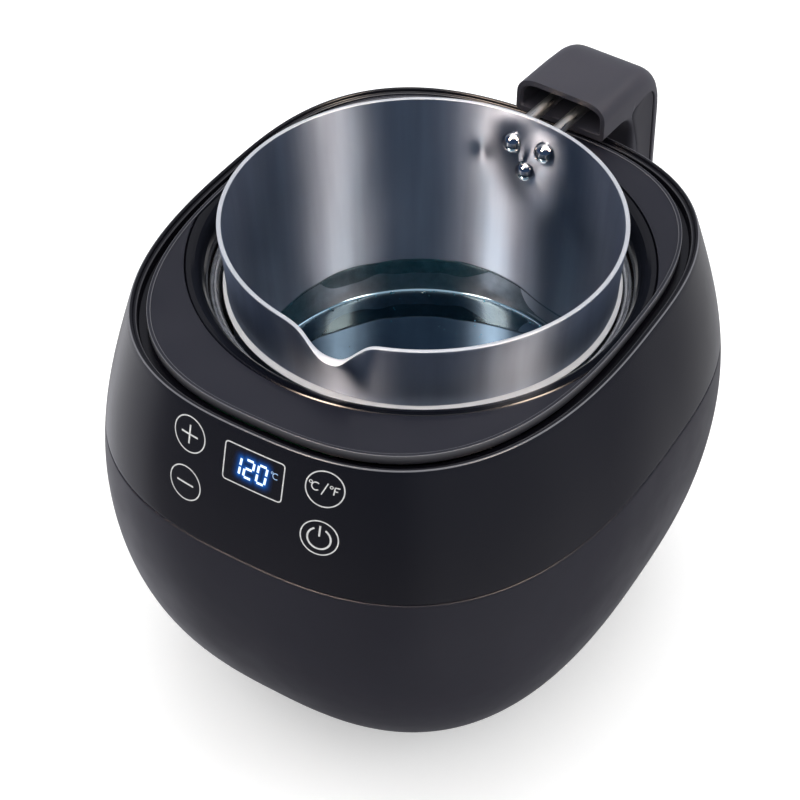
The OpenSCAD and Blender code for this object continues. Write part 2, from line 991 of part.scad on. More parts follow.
grip_top = deck_z + 17;
grip_floor = deck_z + 2.5;   // underside of the hood, clear of the casing's rim
grip_end = deck_z - grip_drop;
grip_back = 139;
grip_t = 21;
grip_lean = 8;           // how far the grip leans back from its top to its end
hood_r = 10;             // rounding of the hood's long edges
skin_t = 2.6;
corner_r = 17;
end_r = 10;
mouth_y = 110;           // back wall of the hood's mouth

// Side outline of the grip, as [y, z]
grip_side = concat(
    [[grip_y, grip_floor], [grip_y, grip_top]],
    arc([grip_back - grip_lean - corner_r, grip_top - corner_r], corner_r, 90, 8, 8),
    arc([grip_back - end_r, grip_end + end_r], end_r, 0, -90, 5),
    arc([grip_back - grip_t + end_r, grip_end + end_r], end_r, -90, -180, 5),
    [[113, deck_z - 14], [106, grip_floor]]
);

// Side outline of the arched panel let into the grip's sides, as [y, z], drawn in by d
function panel_side(d) = concat(
    arc([115, deck_z - 8], 15 - d, 150, 10, 10),
    arc([grip_back - 10.5, grip_end + 11], 7 - d, 0, -90, 4),
    arc([grip_back - grip_t + 10.5, grip_end + 11], 7 - d, -90, -180, 4),
    [[116 + d, deck_z - 16]]
);

module side_solid(points, width) {
    translate([-width / 2, 0, 0])
        rotate([90, 0, 90])
            linear_extrude(width)
                polygon(points);
}

// Block with its upper edges rounded, seen from the front
module hood_section(width, floor, top, r, y0, y1) {
    translate([0, y1, 0])
        rotate([90, 0, 0])
            linear_extrude(y1 - y0)
                polygon(concat(
                    [[-width / 2, floor], [width / 2, floor]],
                    arc([width / 2 - r, top - r], r, 0, 90, 8),
                    arc([-width / 2 + r, top - r], r, 90, 180, 8)
                ));
}

// Block with its back edges rounded, seen from above
module back_section(width, back, r) {
    translate([0, 0, grip_end - cut])
        linear_extrude(grip_top - grip_end + 2 * cut)
            polygon(concat(
                [[-width / 2, grip_y - cut], [width / 2, grip_y - cut]],
                arc([width / 2 - r, back - r], r, 0, 90, 6),
                arc([-width / 2 + r, back - r], r, 90, 180, 6)
            ));
}

module mouth() {
    hood_section(grip_w - 2 * skin_t, grip_floor + skin_t, grip_top - skin_t, hood_r - skin_t,
        grip_y - cut, mouth_y);
}

// Screws that hold the grip's core to its shell, as [height, y of the core's face, y of the boss's root]
grip_screw_list = [[deck_z - 30, 117.5, 133], [deck_z - 66, 121, 136.5]];
head_sink = 2.5;
boss_r = 3.2;
boss_y = 125;

module grip_shell() {
    color(satin)
        turned()
            difference() {
                union() {
                    difference() {
                        intersection() {
                            side_solid(grip_side, grip_w);
                            hood_section(grip_w, grip_end - cut, grip_top, hood_r, grip_y - cut, 150);
                            back_section(grip_w, grip_back, 6);
                        }
                        side_solid(panel_side(0), grip_w + 2 * cut);
                    }
                    for (p = grip_screw_list)
                        translate([0, boss_y, p[0]])
                            rotate([-90, 0, 0])
                                cylinder(r = boss_r, h = p[2] - boss_y, $fn = 32);
                }
                mouth();
                rod_bores();
                clamp_screw_places()
                    translate([0, 0, clamp_t])
                        cylinder(r = clamp_screw_r + 0.05, h = 8, $fn = 24);
                for (p = grip_screw_list)
                    translate([0, p[1] - 8, p[0]])
                        rotate([-90, 0, 0]) {
                            cylinder(r = 3.2, h = 8 + head_sink, $fn = 24);
                            cylinder(r = 1.45, h = 8 + boss_y + 6 - p[1], $fn = 24);
                        }
            }
}

module grip_core() {
    color([0.2, 0.2, 0.21])
        turned()
            difference() {
                side_solid(panel_side(gap), grip_w - 2);
                mouth();
                rod_bores();
                for (p = grip_screw_list) {
                    translate([0, boss_y - gap, p[0]])
                        rotate([-90, 0, 0])
                            cylinder(r = boss_r + gap, h = 20, $fn = 32);
                    translate([0, p[1] - 5, p[0]])
                        rotate([-90, 0, 0]) {
                            cylinder(r = 1.7, h = 20, $fn = 24);
                            cylinder(r = 3.2, h = 5 + head_sink, $fn = 24);
                        }
                }
            }
}

module grip_screws() {
    color(steel)
        turned()
            for (p = grip_screw_list)
                translate([0, p[1] + head_sink - 1.8 - gap, p[0]])
                    rotate([-90, 0, 0]) {
                        cylinder(r = 2.9, h = 1.8, $fn = 24);
                        cylinder(r = 1.4, h = boss_y + 5 - p[1] - 1, $fn = 24);
                    }
}

clamp_t = 2;
clamp_w = 28;
clamp_h = 6.4;
clamp_screw_x = 11;
clamp_screw_r = 1.25;

// The children's +Z runs from the clamp plate's front face into the grip
module clamp_screw_places() {
    for (x = [-clamp_screw_x, clamp_screw_x])
        translate([x, mouth_y - clamp_t - gap, rod_z])
            rotate([-90, 0, 0])
                children();
}

module rod_clamp() {
    color(steel)
        turned()
            difference() {
                translate([-clamp_w / 2, mouth_y - clamp_t - gap, rod_z - clamp_h / 2])
                    cube([clamp_w, clamp_t, clamp_h]);
                rod_bores();
                clamp_screw_places()
                    translate([0, 0, -cut])
                        cylinder(r = clamp_screw_r + gap, h = clamp_t + 2 * cut, $fn = 24);
            }
}

module clamp_screws() {
    color(steel)
        turned()
            clamp_screw_places()
                translate([0, 0, -1.5 - gap]) {
                    cylinder(r = 2.3, h = 1.5, $fn = 24);
                    cylinder(r = clamp_screw_r, h = 1.5 + clamp_t + 6, $fn = 24);
                }
}

lower_shell();
upper_shell();
top_deck();
bowl_collar();
bowl_gasket();
heating_bowl();
heater_plate();
heating_element();
element_clamp();
temperature_sensor();
thermal_fuse();
insulation();
heat_shield();
collar_screws();
control_board();
display_module();
touch_springs();
panel_screws();
ribbon_cable();
power_board();
transformer();
relay();
filter_capacitor();
terminal_block();
board_screws();
heater_leads();
mains_leads();
power_inlet();
inlet_pins();
base_plate();
base_screws();
rubber_feet();
pot();
wax();
handle_bracket();
handle_rivets();
handle_rods();
rod_clamp();
clamp_screws();
grip_shell();
grip_core();
grip_screws();
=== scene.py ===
import json
import math

import bmesh
import bpy
import numpy as np
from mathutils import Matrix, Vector


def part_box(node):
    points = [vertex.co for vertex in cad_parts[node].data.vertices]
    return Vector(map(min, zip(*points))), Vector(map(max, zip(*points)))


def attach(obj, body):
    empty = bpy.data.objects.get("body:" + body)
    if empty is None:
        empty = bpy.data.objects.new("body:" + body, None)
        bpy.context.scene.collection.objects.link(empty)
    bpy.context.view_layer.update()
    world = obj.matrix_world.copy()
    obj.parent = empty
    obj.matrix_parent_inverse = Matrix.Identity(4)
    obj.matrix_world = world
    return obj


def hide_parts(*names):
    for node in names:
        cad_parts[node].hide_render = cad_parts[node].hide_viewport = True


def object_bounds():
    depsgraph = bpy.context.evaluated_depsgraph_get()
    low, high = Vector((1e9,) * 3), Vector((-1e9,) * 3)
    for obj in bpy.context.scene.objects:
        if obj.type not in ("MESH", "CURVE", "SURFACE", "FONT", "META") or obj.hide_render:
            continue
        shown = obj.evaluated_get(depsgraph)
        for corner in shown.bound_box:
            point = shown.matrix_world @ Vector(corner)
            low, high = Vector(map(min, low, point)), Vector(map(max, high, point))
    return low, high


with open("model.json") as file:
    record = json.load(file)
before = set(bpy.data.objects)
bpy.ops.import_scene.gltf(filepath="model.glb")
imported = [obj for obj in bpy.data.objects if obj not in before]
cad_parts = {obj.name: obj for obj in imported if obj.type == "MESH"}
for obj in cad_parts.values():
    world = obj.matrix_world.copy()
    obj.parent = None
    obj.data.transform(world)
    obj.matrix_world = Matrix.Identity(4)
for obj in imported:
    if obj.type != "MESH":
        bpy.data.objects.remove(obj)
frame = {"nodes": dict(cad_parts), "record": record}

cad_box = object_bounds()

# Lengths below are in millimetres. Heights written as "above the deck" count from DECK_Z.
MM = 0.001
SIDES = 360  # points around the casing
SQUARENESS = 2.7  # 2 is an ellipse
GROOVE_W = 5.6  # groove between the rim and the deck
LIP_H = 0.4  # raised edge of the deck
LIP_W = 1.2
OPENING_R = 81.2  # round opening in the deck
BELLY_Z = 90.0  # height of the casing's widest part
OVAL_MIDDLE = 9.0  # y of the casing's widest part at the rim
SEAM_GAP = 0.5
WALL = 3.0
TONGUE_T = 1.2  # the lower casing's tongue stands up inside the upper one
TONGUE_H = 4.0
FIT = 0.15  # clearance between pieces that fit together
EDGE_ROUND = 0.45  # rounding of the casing's edges
LEDGE_IN = 12.0  # the ledge that the base plate is screwed to, in from the casing
LEDGE_LOW = 2.2
LEDGE_HIGH = 6.2
FOOT_IN = 2.0  # the casing's lowest edge, around the base plate
FOOT_LOW = 0.2
PLATE_EDGE = 2.15  # the lower casing stands this far out past its base plate


def box_mm(node):
    low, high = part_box(node)
    return np.array(low) / MM, np.array(high) / MM


DECK_LOW, DECK_HIGH = box_mm("top_deck")
DECK_Z = DECK_HIGH[2] - LIP_H
SEAM_Z = box_mm("upper_shell")[0][2] - SEAM_GAP / 2


def plan_size(node, edge, middle):
    """Half width, front, back and middle of an oval that stands edge outside a node's box."""
    low, high = box_mm(node)
    return np.array([high[0] + edge, -low[1] + edge, high[1] + edge, middle])


RIM = plan_size("top_deck", GROOVE_W, OVAL_MIDDLE)
BELLY = plan_size("lower_shell", 0, OVAL_MIDDLE)
BASE = plan_size("base_plate", PLATE_EDGE, 0)

# ---- mesh tools ----


def around(count):
    """Equal steps of a full turn, in radians."""
    return np.linspace(0, 2 * math.pi, count, endpoint=False)


def polar(r, turn):
    return np.column_stack((r * np.cos(turn), r * np.sin(turn)))


def at_height(points, z):
    """(x, y) points at one height, or each at its own."""
    return np.column_stack((points, np.full(len(points), z)))


def add_object(name, data):
    """A new object in the scene."""
    thing = bpy.data.objects.new(name, data)
    bpy.context.scene.collection.objects.link(thing)
    return thing


def make_object(name, verts, faces, sharp_deg=32):
    """A mesh object from points in millimetres, smooth except at edges sharper than sharp_deg."""
    mesh = bpy.data.meshes.new(name)
    mesh.from_pydata([tuple(float(c) * MM for c in v) for v in verts], [], faces)
    work = bmesh.new()
    work.from_mesh(mesh)
    bmesh.ops.recalc_face_normals(work, faces=work.faces)
    work.to_mesh(mesh)
    work.free()
    mesh.shade_smooth()
    mesh.set_sharp_from_angle(angle=math.radians(sharp_deg))
    return add_object(name, mesh)


def add_values(piece, name, values):
    """Stores one number for each point of a piece's mesh."""
    store = piece.data.attributes.new(name, "FLOAT", "POINT")
    store.data.foreach_set("value", np.asarray(values, np.float32))


def skin_faces(rings, points, loop, start=0):
    """Quads between rings of points, numbered from start. loop joins the last ring to the first."""
    faces = []
    for j in range(rings if loop else rings - 1):
        for i in range(points):
            k = (i + 1) % points
            low, high = start + j * points, start + (j + 1) % rings * points
            faces.append((low + i, low + k, high + k, high + i))
    return faces


def skin(name, rings, loop=False, sharp_deg=32):
    """A closed surface through rings: loop joins its ends, otherwise both get a cap."""
    count = len(rings[0])
    faces = skin_faces(len(rings), count, loop)
    if not loop:
        faces.append(tuple(range(count)))
        faces.append(tuple((len(rings) - 1) * count + i for i in range(count)))
    return make_object(name, np.concatenate(rings), faces, sharp_deg)


def fillet(path, radius, steps=4):
    """An open path with rounded corners. radius is one number or one for each corner."""
    path = [np.array(p, float) for p in path]
    radii = [radius] * (len(path) - 2) if np.isscalar(radius) else radius
    out = [path[0]]
    for before, corner, after, r in zip(path, path[1:], path[2:], radii):
        legs = [before - corner, after - corner]
        cut = [min(r, 0.48 * np.linalg.norm(leg)) for leg in legs]
        a, b = [corner + leg / np.linalg.norm(leg) * c for leg, c in zip(legs, cut)]
        for t in np.linspace(0, 1, steps + 1):
            out.append((1 - t) ** 2 * a + 2 * t * (1 - t) * corner + t ** 2 * b)
    return out + [path[-1]]


def cut_away(piece, tool, sharp_deg=32):
    """Cuts tool out of piece and removes it."""
    step = piece.modifiers.new("cut", "BOOLEAN")
    step.operation = "DIFFERENCE"
    step.object = tool
    step.solver = "EXACT"
    graph = bpy.context.evaluated_depsgraph_get()
    result = bpy.data.meshes.new_from_object(piece.evaluated_get(graph))
    piece.modifiers.clear()
    piece.data = result
    result.set_sharp_from_angle(angle=math.radians(sharp_deg))
    bpy.data.objects.remove(tool)
    return piece


def join(name, parts, sharp_deg=32):
    """One mesh object made of the meshes of several parts, which are removed."""
    work = bmesh.new()
    for part in parts:
        work.from_mesh(part.data)
        bpy.data.objects.remove(part)
    mesh = bpy.data.meshes.new(name)
    work.to_mesh(mesh)
    work.free()
    mesh.set_sharp_from_angle(angle=math.radians(sharp_deg))
    return add_object(name, mesh)


def place(piece, body, look, slot, *nodes):
    """Gives a piece its body and material, and lets it stand for CAD nodes. slot is not used."""
    piece.data.materials.clear()
    piece.data.materials.append(LOOKS[look])
    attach(piece, body)
    if nodes:
        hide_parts(*nodes)


# ---- casing ----


def outline(size, inset=0.0):
    """Points of the casing's squarish oval in plan."""
    half, front, back, middle = size
    turn = around(SIDES)
    c, s = np.cos(turn), np.sin(turn)
    reach = np.where(s > 0, back - middle, front + middle)
    across = (np.abs(c) / (half - inset)) ** SQUARENESS + (np.abs(s) / (reach - inset)) ** SQUARENESS
    r = across ** (-1 / SQUARENESS)
    return np.column_stack((r * c, middle + r * s))


def casing_size(z):
    """A sine bulge above the belly and a quarter ellipse below it."""
    if z > BELLY_Z:
        share = math.sin(math.pi / 2 * (DECK_Z - z) / (DECK_Z - BELLY_Z))
        return RIM + (BELLY - RIM) * share
    share = math.sqrt(max(0.0, 1 - ((BELLY_Z - z) / BELLY_Z) ** 2))
    return BASE + (BELLY - BASE) * share


def casing_rings(profile):
    """Rings from (inset from the casing's outside, height) points."""
    return [at_height(outline(casing_size(z), inset), z) for inset, z in profile]


def rim_rings(profile):
    """Rings from (inset from the rim, height above the deck) points."""
    return [at_height(outline(RIM, inset), DECK_Z + z) for inset, z in profile]


def front_point(x, z, lift=0.0):
    """Point on the front of the casing at x and height z above the deck, lift outside the surface."""
    half, front, _, middle = casing_size(DECK_Z + z)
    y = middle - (front + middle) * (1 - abs(x / half) ** SQUARENESS) ** (1 / SQUARENESS)
    return np.array([x, y - lift, DECK_Z + z])


def build_upper_shell():
    """The upper casing. Its attribute "edge" marks where a painted highlight lightens the thin edges of the
    rim and groove.
    """
    low = SEAM_Z + SEAM_GAP / 2
    tongue = WALL - TONGUE_T - FIT
    recess = SEAM_Z + TONGUE_H + FIT
    outside = casing_rings(fillet([(tongue, low), (0, low), (0, low + 1.5)], EDGE_ROUND))
    outside += casing_rings([(0, z) for z in np.linspace(low + 3, DECK_Z - 1.2, 30)])
    groove = fillet([
        (-0.2, -0.8), (0.05, 0), (1.2, 0), (1.45, -1.3), (2.4, -1.3), (2.75, -4.5),
        (6.5, -4.5), (6.5, -6.5), (4, -6.5),
    ], EDGE_ROUND)
    inside = [(WALL, z) for z in np.linspace(DECK_Z - 10, recess, 10)] + [(tongue, recess)]
    rings = outside + rim_rings(groove) + casing_rings(inside)
    painted_highlight = [0.0] * len(outside) + [groove_edge_highlight(inset, z) for inset, z in groove] + [0.0] * len(inside)
    shell = skin("casing_upper", rings, loop=True)
    add_values(shell, "edge", np.repeat(painted_highlight, SIDES))
    return shell


def groove_edge_highlight(inset, z):
    """How much painted highlight an edge of the rim's groove gets: the outer edge most and the step in it
    less.
    """
    if 0.0 < inset < 0.5 and z > -0.35:
        return 1.0
    return 0.35 if 2.1 < inset < 2.6 and z > -1.6 else 0.0


def build_lower_shell():
    """The lower casing with its tongue, the ledge over the base plate and the inlet's opening."""
    top = SEAM_Z - SEAM_GAP / 2
    tongue = WALL - TONGUE_T
    steep = np.radians(np.linspace(87, 0, 48))
    outside = [(0, BELLY_Z * (1 - math.sin(a))) for a in steep]
    outside += [(0, z) for z in np.linspace(BELLY_Z + 2, top - 3, 10)]
    edge = fillet([(0, top - 1.5), (0, top), (tongue, top)], EDGE_ROUND)
    tongue_end = [(tongue, top + TONGUE_H), (WALL, top + TONGUE_H)]
    inside = [(WALL, BELLY_Z * (1 - math.sin(a))) for a in np.radians(np.linspace(0, 68, 18))]
    ledge = [at_height(outline(BASE, LEDGE_IN), z) for z in (LEDGE_HIGH, LEDGE_LOW)]
    foot = [at_height(outline(BASE, FOOT_IN), z) for z in (LEDGE_LOW, FOOT_LOW)]
    rings = casing_rings(outside + edge + tongue_end + inside) + ledge + foot
    shell = skin("casing_lower", rings, loop=True)
    return cut_away(shell, inlet_opening())


def at_depth(points, y):
    """A ring of (x, z) points at one y."""
    points = np.array(points)
    return np.column_stack((points[:, 0], np.full(len(points), y), points[:, 1]))


def box_loop(x0, x1, z0, z1, radius, steps):
    """The outline of a rounded box, as (x, z), starting in the middle of its lower side."""
    middle = (x0 + x1) / 2
    corners = [(middle, z0), (x1, z0), (x1, z1), (x0, z1), (x0, z0), (middle, z0)]
    return np.array(fillet(corners, radius, steps)[:-1])


def inlet_opening():
    """The hole in the back of the lower casing around the power inlet."""
    low, high = box_mm("power_inlet")
    loop = box_loop(low[0] - FIT, high[0] + FIT, low[2] - FIT, high[2] + FIT, 2.0, 6)
    return skin("opening", [at_depth(loop, low[1] - FIT), at_depth(loop, high[1] + 30)])


def build_deck():
    """The deck, from the groove's inner wall to the round opening. "edge" marks the edges of its raised rim
    for a painted highlight.
    """
    lip = fillet([
        (GROOVE_W, -3), (GROOVE_W, LIP_H), (GROOVE_W + LIP_W, LIP_H),
        (GROOVE_W + LIP_W + 0.02, 0.1)
    ], 0.25)
    rings = rim_rings(lip)
    start = rings[-1][:, :2]
    length = np.linalg.norm(start, axis=1)[:, None]
    direction = start / length
    reach = np.maximum(length - OPENING_R, 0.02)
    for t in np.linspace(1, 0, 14)[:-1]:
        rings.append(at_height(direction * (length - reach * (1 - t)), DECK_Z + 0.1 * t ** 8))
    for drop in (0.15, 0.5, 3.0):
        rings.append(at_height(direction * (length - reach - 0.1), DECK_Z - drop))
    deck = skin("deck", rings, loop=True)
    ends = (GROOVE_W + 0.2, GROOVE_W + LIP_W - 0.2)
    painted_highlight = [float(z > 0.1 and not ends[0] < inset < ends[1]) for inset, z in lip]
    add_values(deck, "edge", np.repeat(painted_highlight + [0.0] * (len(rings) - len(lip)), SIDES))
    return deck


# ---- pot ----

POT_TURN = math.radians(-4.5)  # the pot stands turned a little in the bowl
POT_SHIFT = 1.0  # and off the bowl's axis, towards its handle
POT_LOW, POT_HIGH = box_mm("pot")
POT_R = 69.7  # outer radius of the rim
RIM_RISE = POT_HIGH[2] - DECK_Z  # rim above the deck
POT_FLOOR = POT_LOW[2] - DECK_Z
POT_T = 1.2
POT_CORNER = 10.0
POT_FOOT = POT_FLOOR + POT_CORNER
LOWER_R = 64.5
UPPER_R = POT_R - 0.4
BEAD_Z = -10.0  # the bead around the outside
BEAD_OUT = 1.4
LIP_TURN = 284.5  # direction of the pouring lip, with the handle at 90 degrees
LIP_LEFT, LIP_RIGHT = 10.5, 5.0  # degrees its long left and short right flank take
LIP_DEEP = 8.0  # how far below the deck it starts
LIP_OUT = 7.4
LIP_DIP = 2.0
# Where the wall is pushed in, as (depth, direction, half width, height above the deck, half height):
# the flat behind the handle, the hollow under it and a small dimple the other way
DENTS = ((3.7, 90, 10.5, 3, 13), (0.9, 88, 8, -13, 8), (-0.9, 106.5, 2.6, -3.5, 3.2))
DENT_FADE = 4.0  # the dents fade out this far below the rim
CREASE_AT = (2.0, -6.0)  # creases fan out from here: across from the handle, above the deck
CREASE_IN = 0.4
CREASES = 9
CREASE_REACH, CREASE_LONG = 7.0, 4.0
CREASE_TURN = 2.2  # the fan opens away from this direction, in radians


def turn_pot(points, shift=0.0):
    """Points of the pot's own frame, shifted and turned as the pot stands."""
    c, s = math.cos(POT_TURN), math.sin(POT_TURN)
    x, y, z = np.array(points, float).T
    y = y + shift
    return np.column_stack((x * c - y * s, x * s + y * c, z))


def pot_place(points):
    """Points of the pot's own frame, as the pot stands in the bowl."""
    return turn_pot(points, POT_SHIFT)


def pot_angles():
    """Degrees around the pot, closer together at the lip and at the handle."""
    coarse = np.arange(0, 360, 1.0)
    lip = np.arange(LIP_TURN - 24, LIP_TURN + 16, 0.3)
    dent = np.arange(58, 122, 0.5)
    return np.unique(np.round(np.concatenate([coarse, lip, dent]), 3))


ANGLES = pot_angles()


def gauss(x, width):
    """A soft bump, 1 at x = 0."""
    return np.exp(-(x / width) ** 2)


def lip_share(a, z):
    """How strongly the lip shapes the wall in direction a, in degrees, z above the deck."""
    off = a - LIP_TURN
    width = np.where(off < 0, LIP_LEFT, LIP_RIGHT)
    height = np.clip((z + LIP_DEEP) / (RIM_RISE + LIP_DEEP), 0, None) ** 2.2
    return np.exp(-(np.abs(off) / width) ** 2.5) * height


def dent_depth(a, z):
    """How far the wall is pushed in by dents, creases and a slight ripple."""
    dents = sum(deep * gauss(a - at, wide) * gauss(z - up, high) for deep, at, wide, up, high in DENTS)
    across = (a - 90) * math.radians(UPPER_R) - CREASE_AT[0]
    above = z - CREASE_AT[1]
    fan = np.arctan2(across, above)
    length = gauss(np.hypot(across, above) - CREASE_REACH, CREASE_LONG)
    opening = np.clip(-np.cos(fan - CREASE_TURN), 0, 1)
    ripple = 0.16 * np.sin(np.radians(a * 7)) * gauss(z + 2, 18)
    return dents + CREASE_IN * np.sin(CREASES * fan) * length * opening + ripple


def pot_ring(r, z, curl=0.0):
    """One ring of the pot's wall. curl rolls the rim's edge over at the lip."""
    lip = lip_share(ANGLES, z)
    tip = lip ** 5
    inward = dent_depth(ANGLES, z) * min(1.0, max(0.0, (RIM_RISE - z) / DENT_FADE))
    out = r + LIP_OUT * lip + curl * tip - inward
    height = z - LIP_DIP * lip - 0.7 * curl * tip
    return pot_place(at_height(polar(out, np.radians(ANGLES)), DECK_Z + height))


def wall_r(z):
    """Outer radius of the pot's wall at a height above the deck."""
    return LOWER_R + (UPPER_R - LOWER_R) * (z - POT_FOOT) / (RIM_RISE - POT_FOOT)


def pot_wall(inset):
    """Half section of the wall, as (radius, height above the deck), from the floor up."""
    centre = np.array([LOWER_R - POT_CORNER, POT_FOOT])
    points = [(12.0 * k, POT_FLOOR + inset) for k in range(1, 5)]
    for a in np.radians(np.linspace(-90, 0, 12)):
        points.append(tuple(centre + (POT_CORNER - inset) * np.array([math.cos(a), math.sin(a)])))
    for z in np.linspace(POT_FOOT, RIM_RISE - 2.2, 40)[1:]:
        points.append((wall_r(z) - inset, z))
    return points


def add_bead(points):
    """The outer wall with the bead around it and the rolled band under the rim."""
    low = [p for p in points if p[1] < BEAD_Z - 2.4]
    high = [p for p in points if p[1] > BEAD_Z + 2.0]
    out = wall_r(BEAD_Z)
    bead = fillet([
        (out, BEAD_Z - 2.2), (out + 0.1, BEAD_Z - 1.4), (out + BEAD_OUT + 0.05, BEAD_Z - 1.1),
        (out + BEAD_OUT, BEAD_Z - 0.4), (out + 1.05, BEAD_Z - 0.12), (out + 0.95, BEAD_Z + 0.1),
        (out + 0.15, BEAD_Z + 0.95), (out + 0.15, BEAD_Z + 1.8)
    ], [0.3, 0.5, 0.5, 0.25, 0.25, 0.5], 4)
    band = [(r + 0.22 / (1 + math.exp(-(z - RIM_RISE + 5.4) * 6)), z) for r, z in high]
    return low + [tuple(p) for p in bead] + band


def build_pot():
    """The pot. Its attribute "edge" marks where a painted highlight goes: the bead's top and the rim's edge.
    """
    outer = add_bead(pot_wall(0))
    inner = pot_wall(POT_T)
    edge = fillet([
        (UPPER_R + 0.2, RIM_RISE - 1.9), (POT_R - 0.05, RIM_RISE - 1.4), (POT_R, RIM_RISE),
        (UPPER_R - POT_T, RIM_RISE), (UPPER_R - POT_T - 0.02, RIM_RISE - 1.6)
    ], 0.5, 5)
    rings = [pot_ring(r, z) for r, z in outer]
    rings += [pot_ring(r, z, 1.3 * min(1, max(0, (r - UPPER_R + 0.9)))) for r, z in edge]
    rings += [pot_ring(r, z) for r, z in reversed(inner)]
    painted_highlight = [float(r > wall_r(z) + 0.12 and BEAD_Z - 0.8 < z < BEAD_Z + 1.0) for r, z in outer]
    painted_highlight += [0.6 * float(z > RIM_RISE - 0.3) for _, z in edge] + [0.0] * len(inner)
    piece = skin("pouring_pot", rings)
    add_values(piece, "edge", np.repeat(painted_highlight, len(ANGLES)))
    return piece


def circle_ring(r, z, rise=0.0, count=240):
    """A ring about the pot's axis. rise is added to its height, point by point."""
    return pot_place(at_height(polar(r, around(count)), DECK_Z + z + rise))


WAX_TOP = box_mm("wax")[1][2] - DECK_Z
WAX_CREEP = 0.75  # rise of the wax where it wets the wall
FILM_TOP = WAX_TOP + 12
FILM_T = 0.12
FILM_POINTS = 720
# The film's wavy edge, as (waves around the pot, height, shift in radians), and its sag
FILM_WAVES = ((1, 1.3, 5.9), (2, 0.9, 3.6), (5, 0.5, 1.0), (9, 0.3, 2.0), (17, 0.16, 0.3), (31, 0.08, 4.0))
SAG_TURN, SAG_WIDTH, SAG_DEEP = 78, 14, 5.5


def inner_r(z):
    """Radius of the pot's inner face at a height above the deck, leaving out the lip and dents."""
    radii, heights = zip(*[p for p in pot_wall(POT_T) if p[0] > 40])
    return float(np.interp(z, heights, radii))


def build_wax():
    """The pool of wax with a raised edge where it wets the wall."""
    bottom = [p for p in pot_wall(POT_T + FIT) if p[1] < WAX_TOP - 0.4]
    edge = inner_r(WAX_TOP) - FIT
    rings = [circle_ring(r, z) for r, z in bottom]
    rings.append(circle_ring(edge + 0.03, WAX_TOP + WAX_CREEP))
    for off in (0.25, 0.6, 1.1, 1.8, 2.8, 4.5):
        rings.append(circle_ring(edge - off, WAX_TOP + WAX_CREEP * math.exp(-off / 0.8)))
    for r in (50, 40, 30, 20, 10, 3):
        rings.append(circle_ring(r, WAX_TOP))
    return skin("wax_pool", rings)


def film_rise():
    """How far the film's edge wanders up and down around the pot, with one deep sag."""
    turn = around(FILM_POINTS)
    rise = sum(size * np.sin(waves * turn + shift) for waves, size, shift in FILM_WAVES)
    return rise - SAG_DEEP * gauss(np.degrees(turn) - SAG_TURN, SAG_WIDTH)


def build_film():
    """A thin film of wax left on the wall above the pool, with a wavy thick edge."""
    rise = film_rise()
    steps = np.linspace(0, 1, 16)
    heights = [WAX_TOP + 0.5 + (FILM_TOP - WAX_TOP) * t for t in steps]
    front, back = [
        [circle_ring(inner_r(z) + off, z, t * rise, FILM_POINTS) for z, t in zip(heights, steps)]
        for off in (-FILM_T / 2, FILM_T / 2)
    ]
    edge_r, edge_z = inner_r(heights[-1]), heights[-1]
    crest = [(0.22, -0.3), (0.34, 0.1), (0.22, 0.45), (0.0, 0.5)]
    bead = [circle_ring(edge_r - inward, edge_z + up, rise, FILM_POINTS) for inward, up in crest]
    return skin("wax_film", front + bead + back[::-1], loop=True)


def bubble(centre, radius):
    """A small half ball standing on the wax."""
    circle = polar(1, around(10))
    rings = []
    for lift in np.radians(np.linspace(-20, 80, 6)):
        ring = centre[:2] + radius * math.cos(lift) * circle
        rings.append(at_height(ring, centre[2] + radius * math.sin(lift)))
    return skin("bubble", rings)


BUBBLES = 220
EDGE_BUBBLES = 150


def build_bubbles():
    """Bubbles along the edge of the pool and a few on it."""
    draw = np.random.default_rng(7)
    parts = []
    edge = inner_r(WAX_TOP)
    for k in range(BUBBLES):
        a = draw.uniform(0, 2 * math.pi)
        at_edge = k < EDGE_BUBBLES
        size = draw.uniform(0.16, 0.5) if at_edge else draw.uniform(0.1, 0.3)
        r = edge - 0.35 - size - draw.exponential(0.5) if at_edge else edge * math.sqrt(draw.uniform(0, 0.9))
        centre = (r * math.cos(a), r * math.sin(a), DECK_Z + WAX_TOP + 0.25 * at_edge)
        parts.append(bubble(pot_place([centre])[0], size))
    return join("wax_bubbles", parts)


RIVETS = ((-6.4, 5.3), (8.0, 6.0), (0.4, -4.5))  # (across, above the deck) of the handle's rivets
RIVET_R = 4.1
SHANK_R = 1.85
SHANK_END = 4.6  # how far the shank goes through the wall


def wall_in(a, z):
    """Radius of the pot's inner face in direction a at a height above the deck."""
    return wall_r(z) - POT_T - float(dent_depth(np.array([a]), z)[0])


def build_rivet(x, z):
    """A ball-headed rivet through the wall, turned about a line towards the pot's axis."""
    turn = math.asin(x / UPPER_R)
    face = wall_in(90 - math.degrees(turn), z)
    dome = [(RIVET_R * math.sin(t), 0.4 - RIVET_R * math.cos(t)) for t in np.radians(np.linspace(4, 96, 22))]
    profile = dome + [(SHANK_R, 0.5), (SHANK_R, SHANK_END)]
    circle = around(40)
    rings = []
    for r, out in profile:
        far = face + out
        side, up = r * np.cos(circle), r * np.sin(circle)
        rings.append(pot_place(np.column_stack((
            far * math.sin(turn) + side * math.cos(turn), far * math.cos(turn) - side * math.sin(turn),
            DECK_Z + z + up))))
    return skin("rivet", rings, sharp_deg=50)


# ---- grip ----

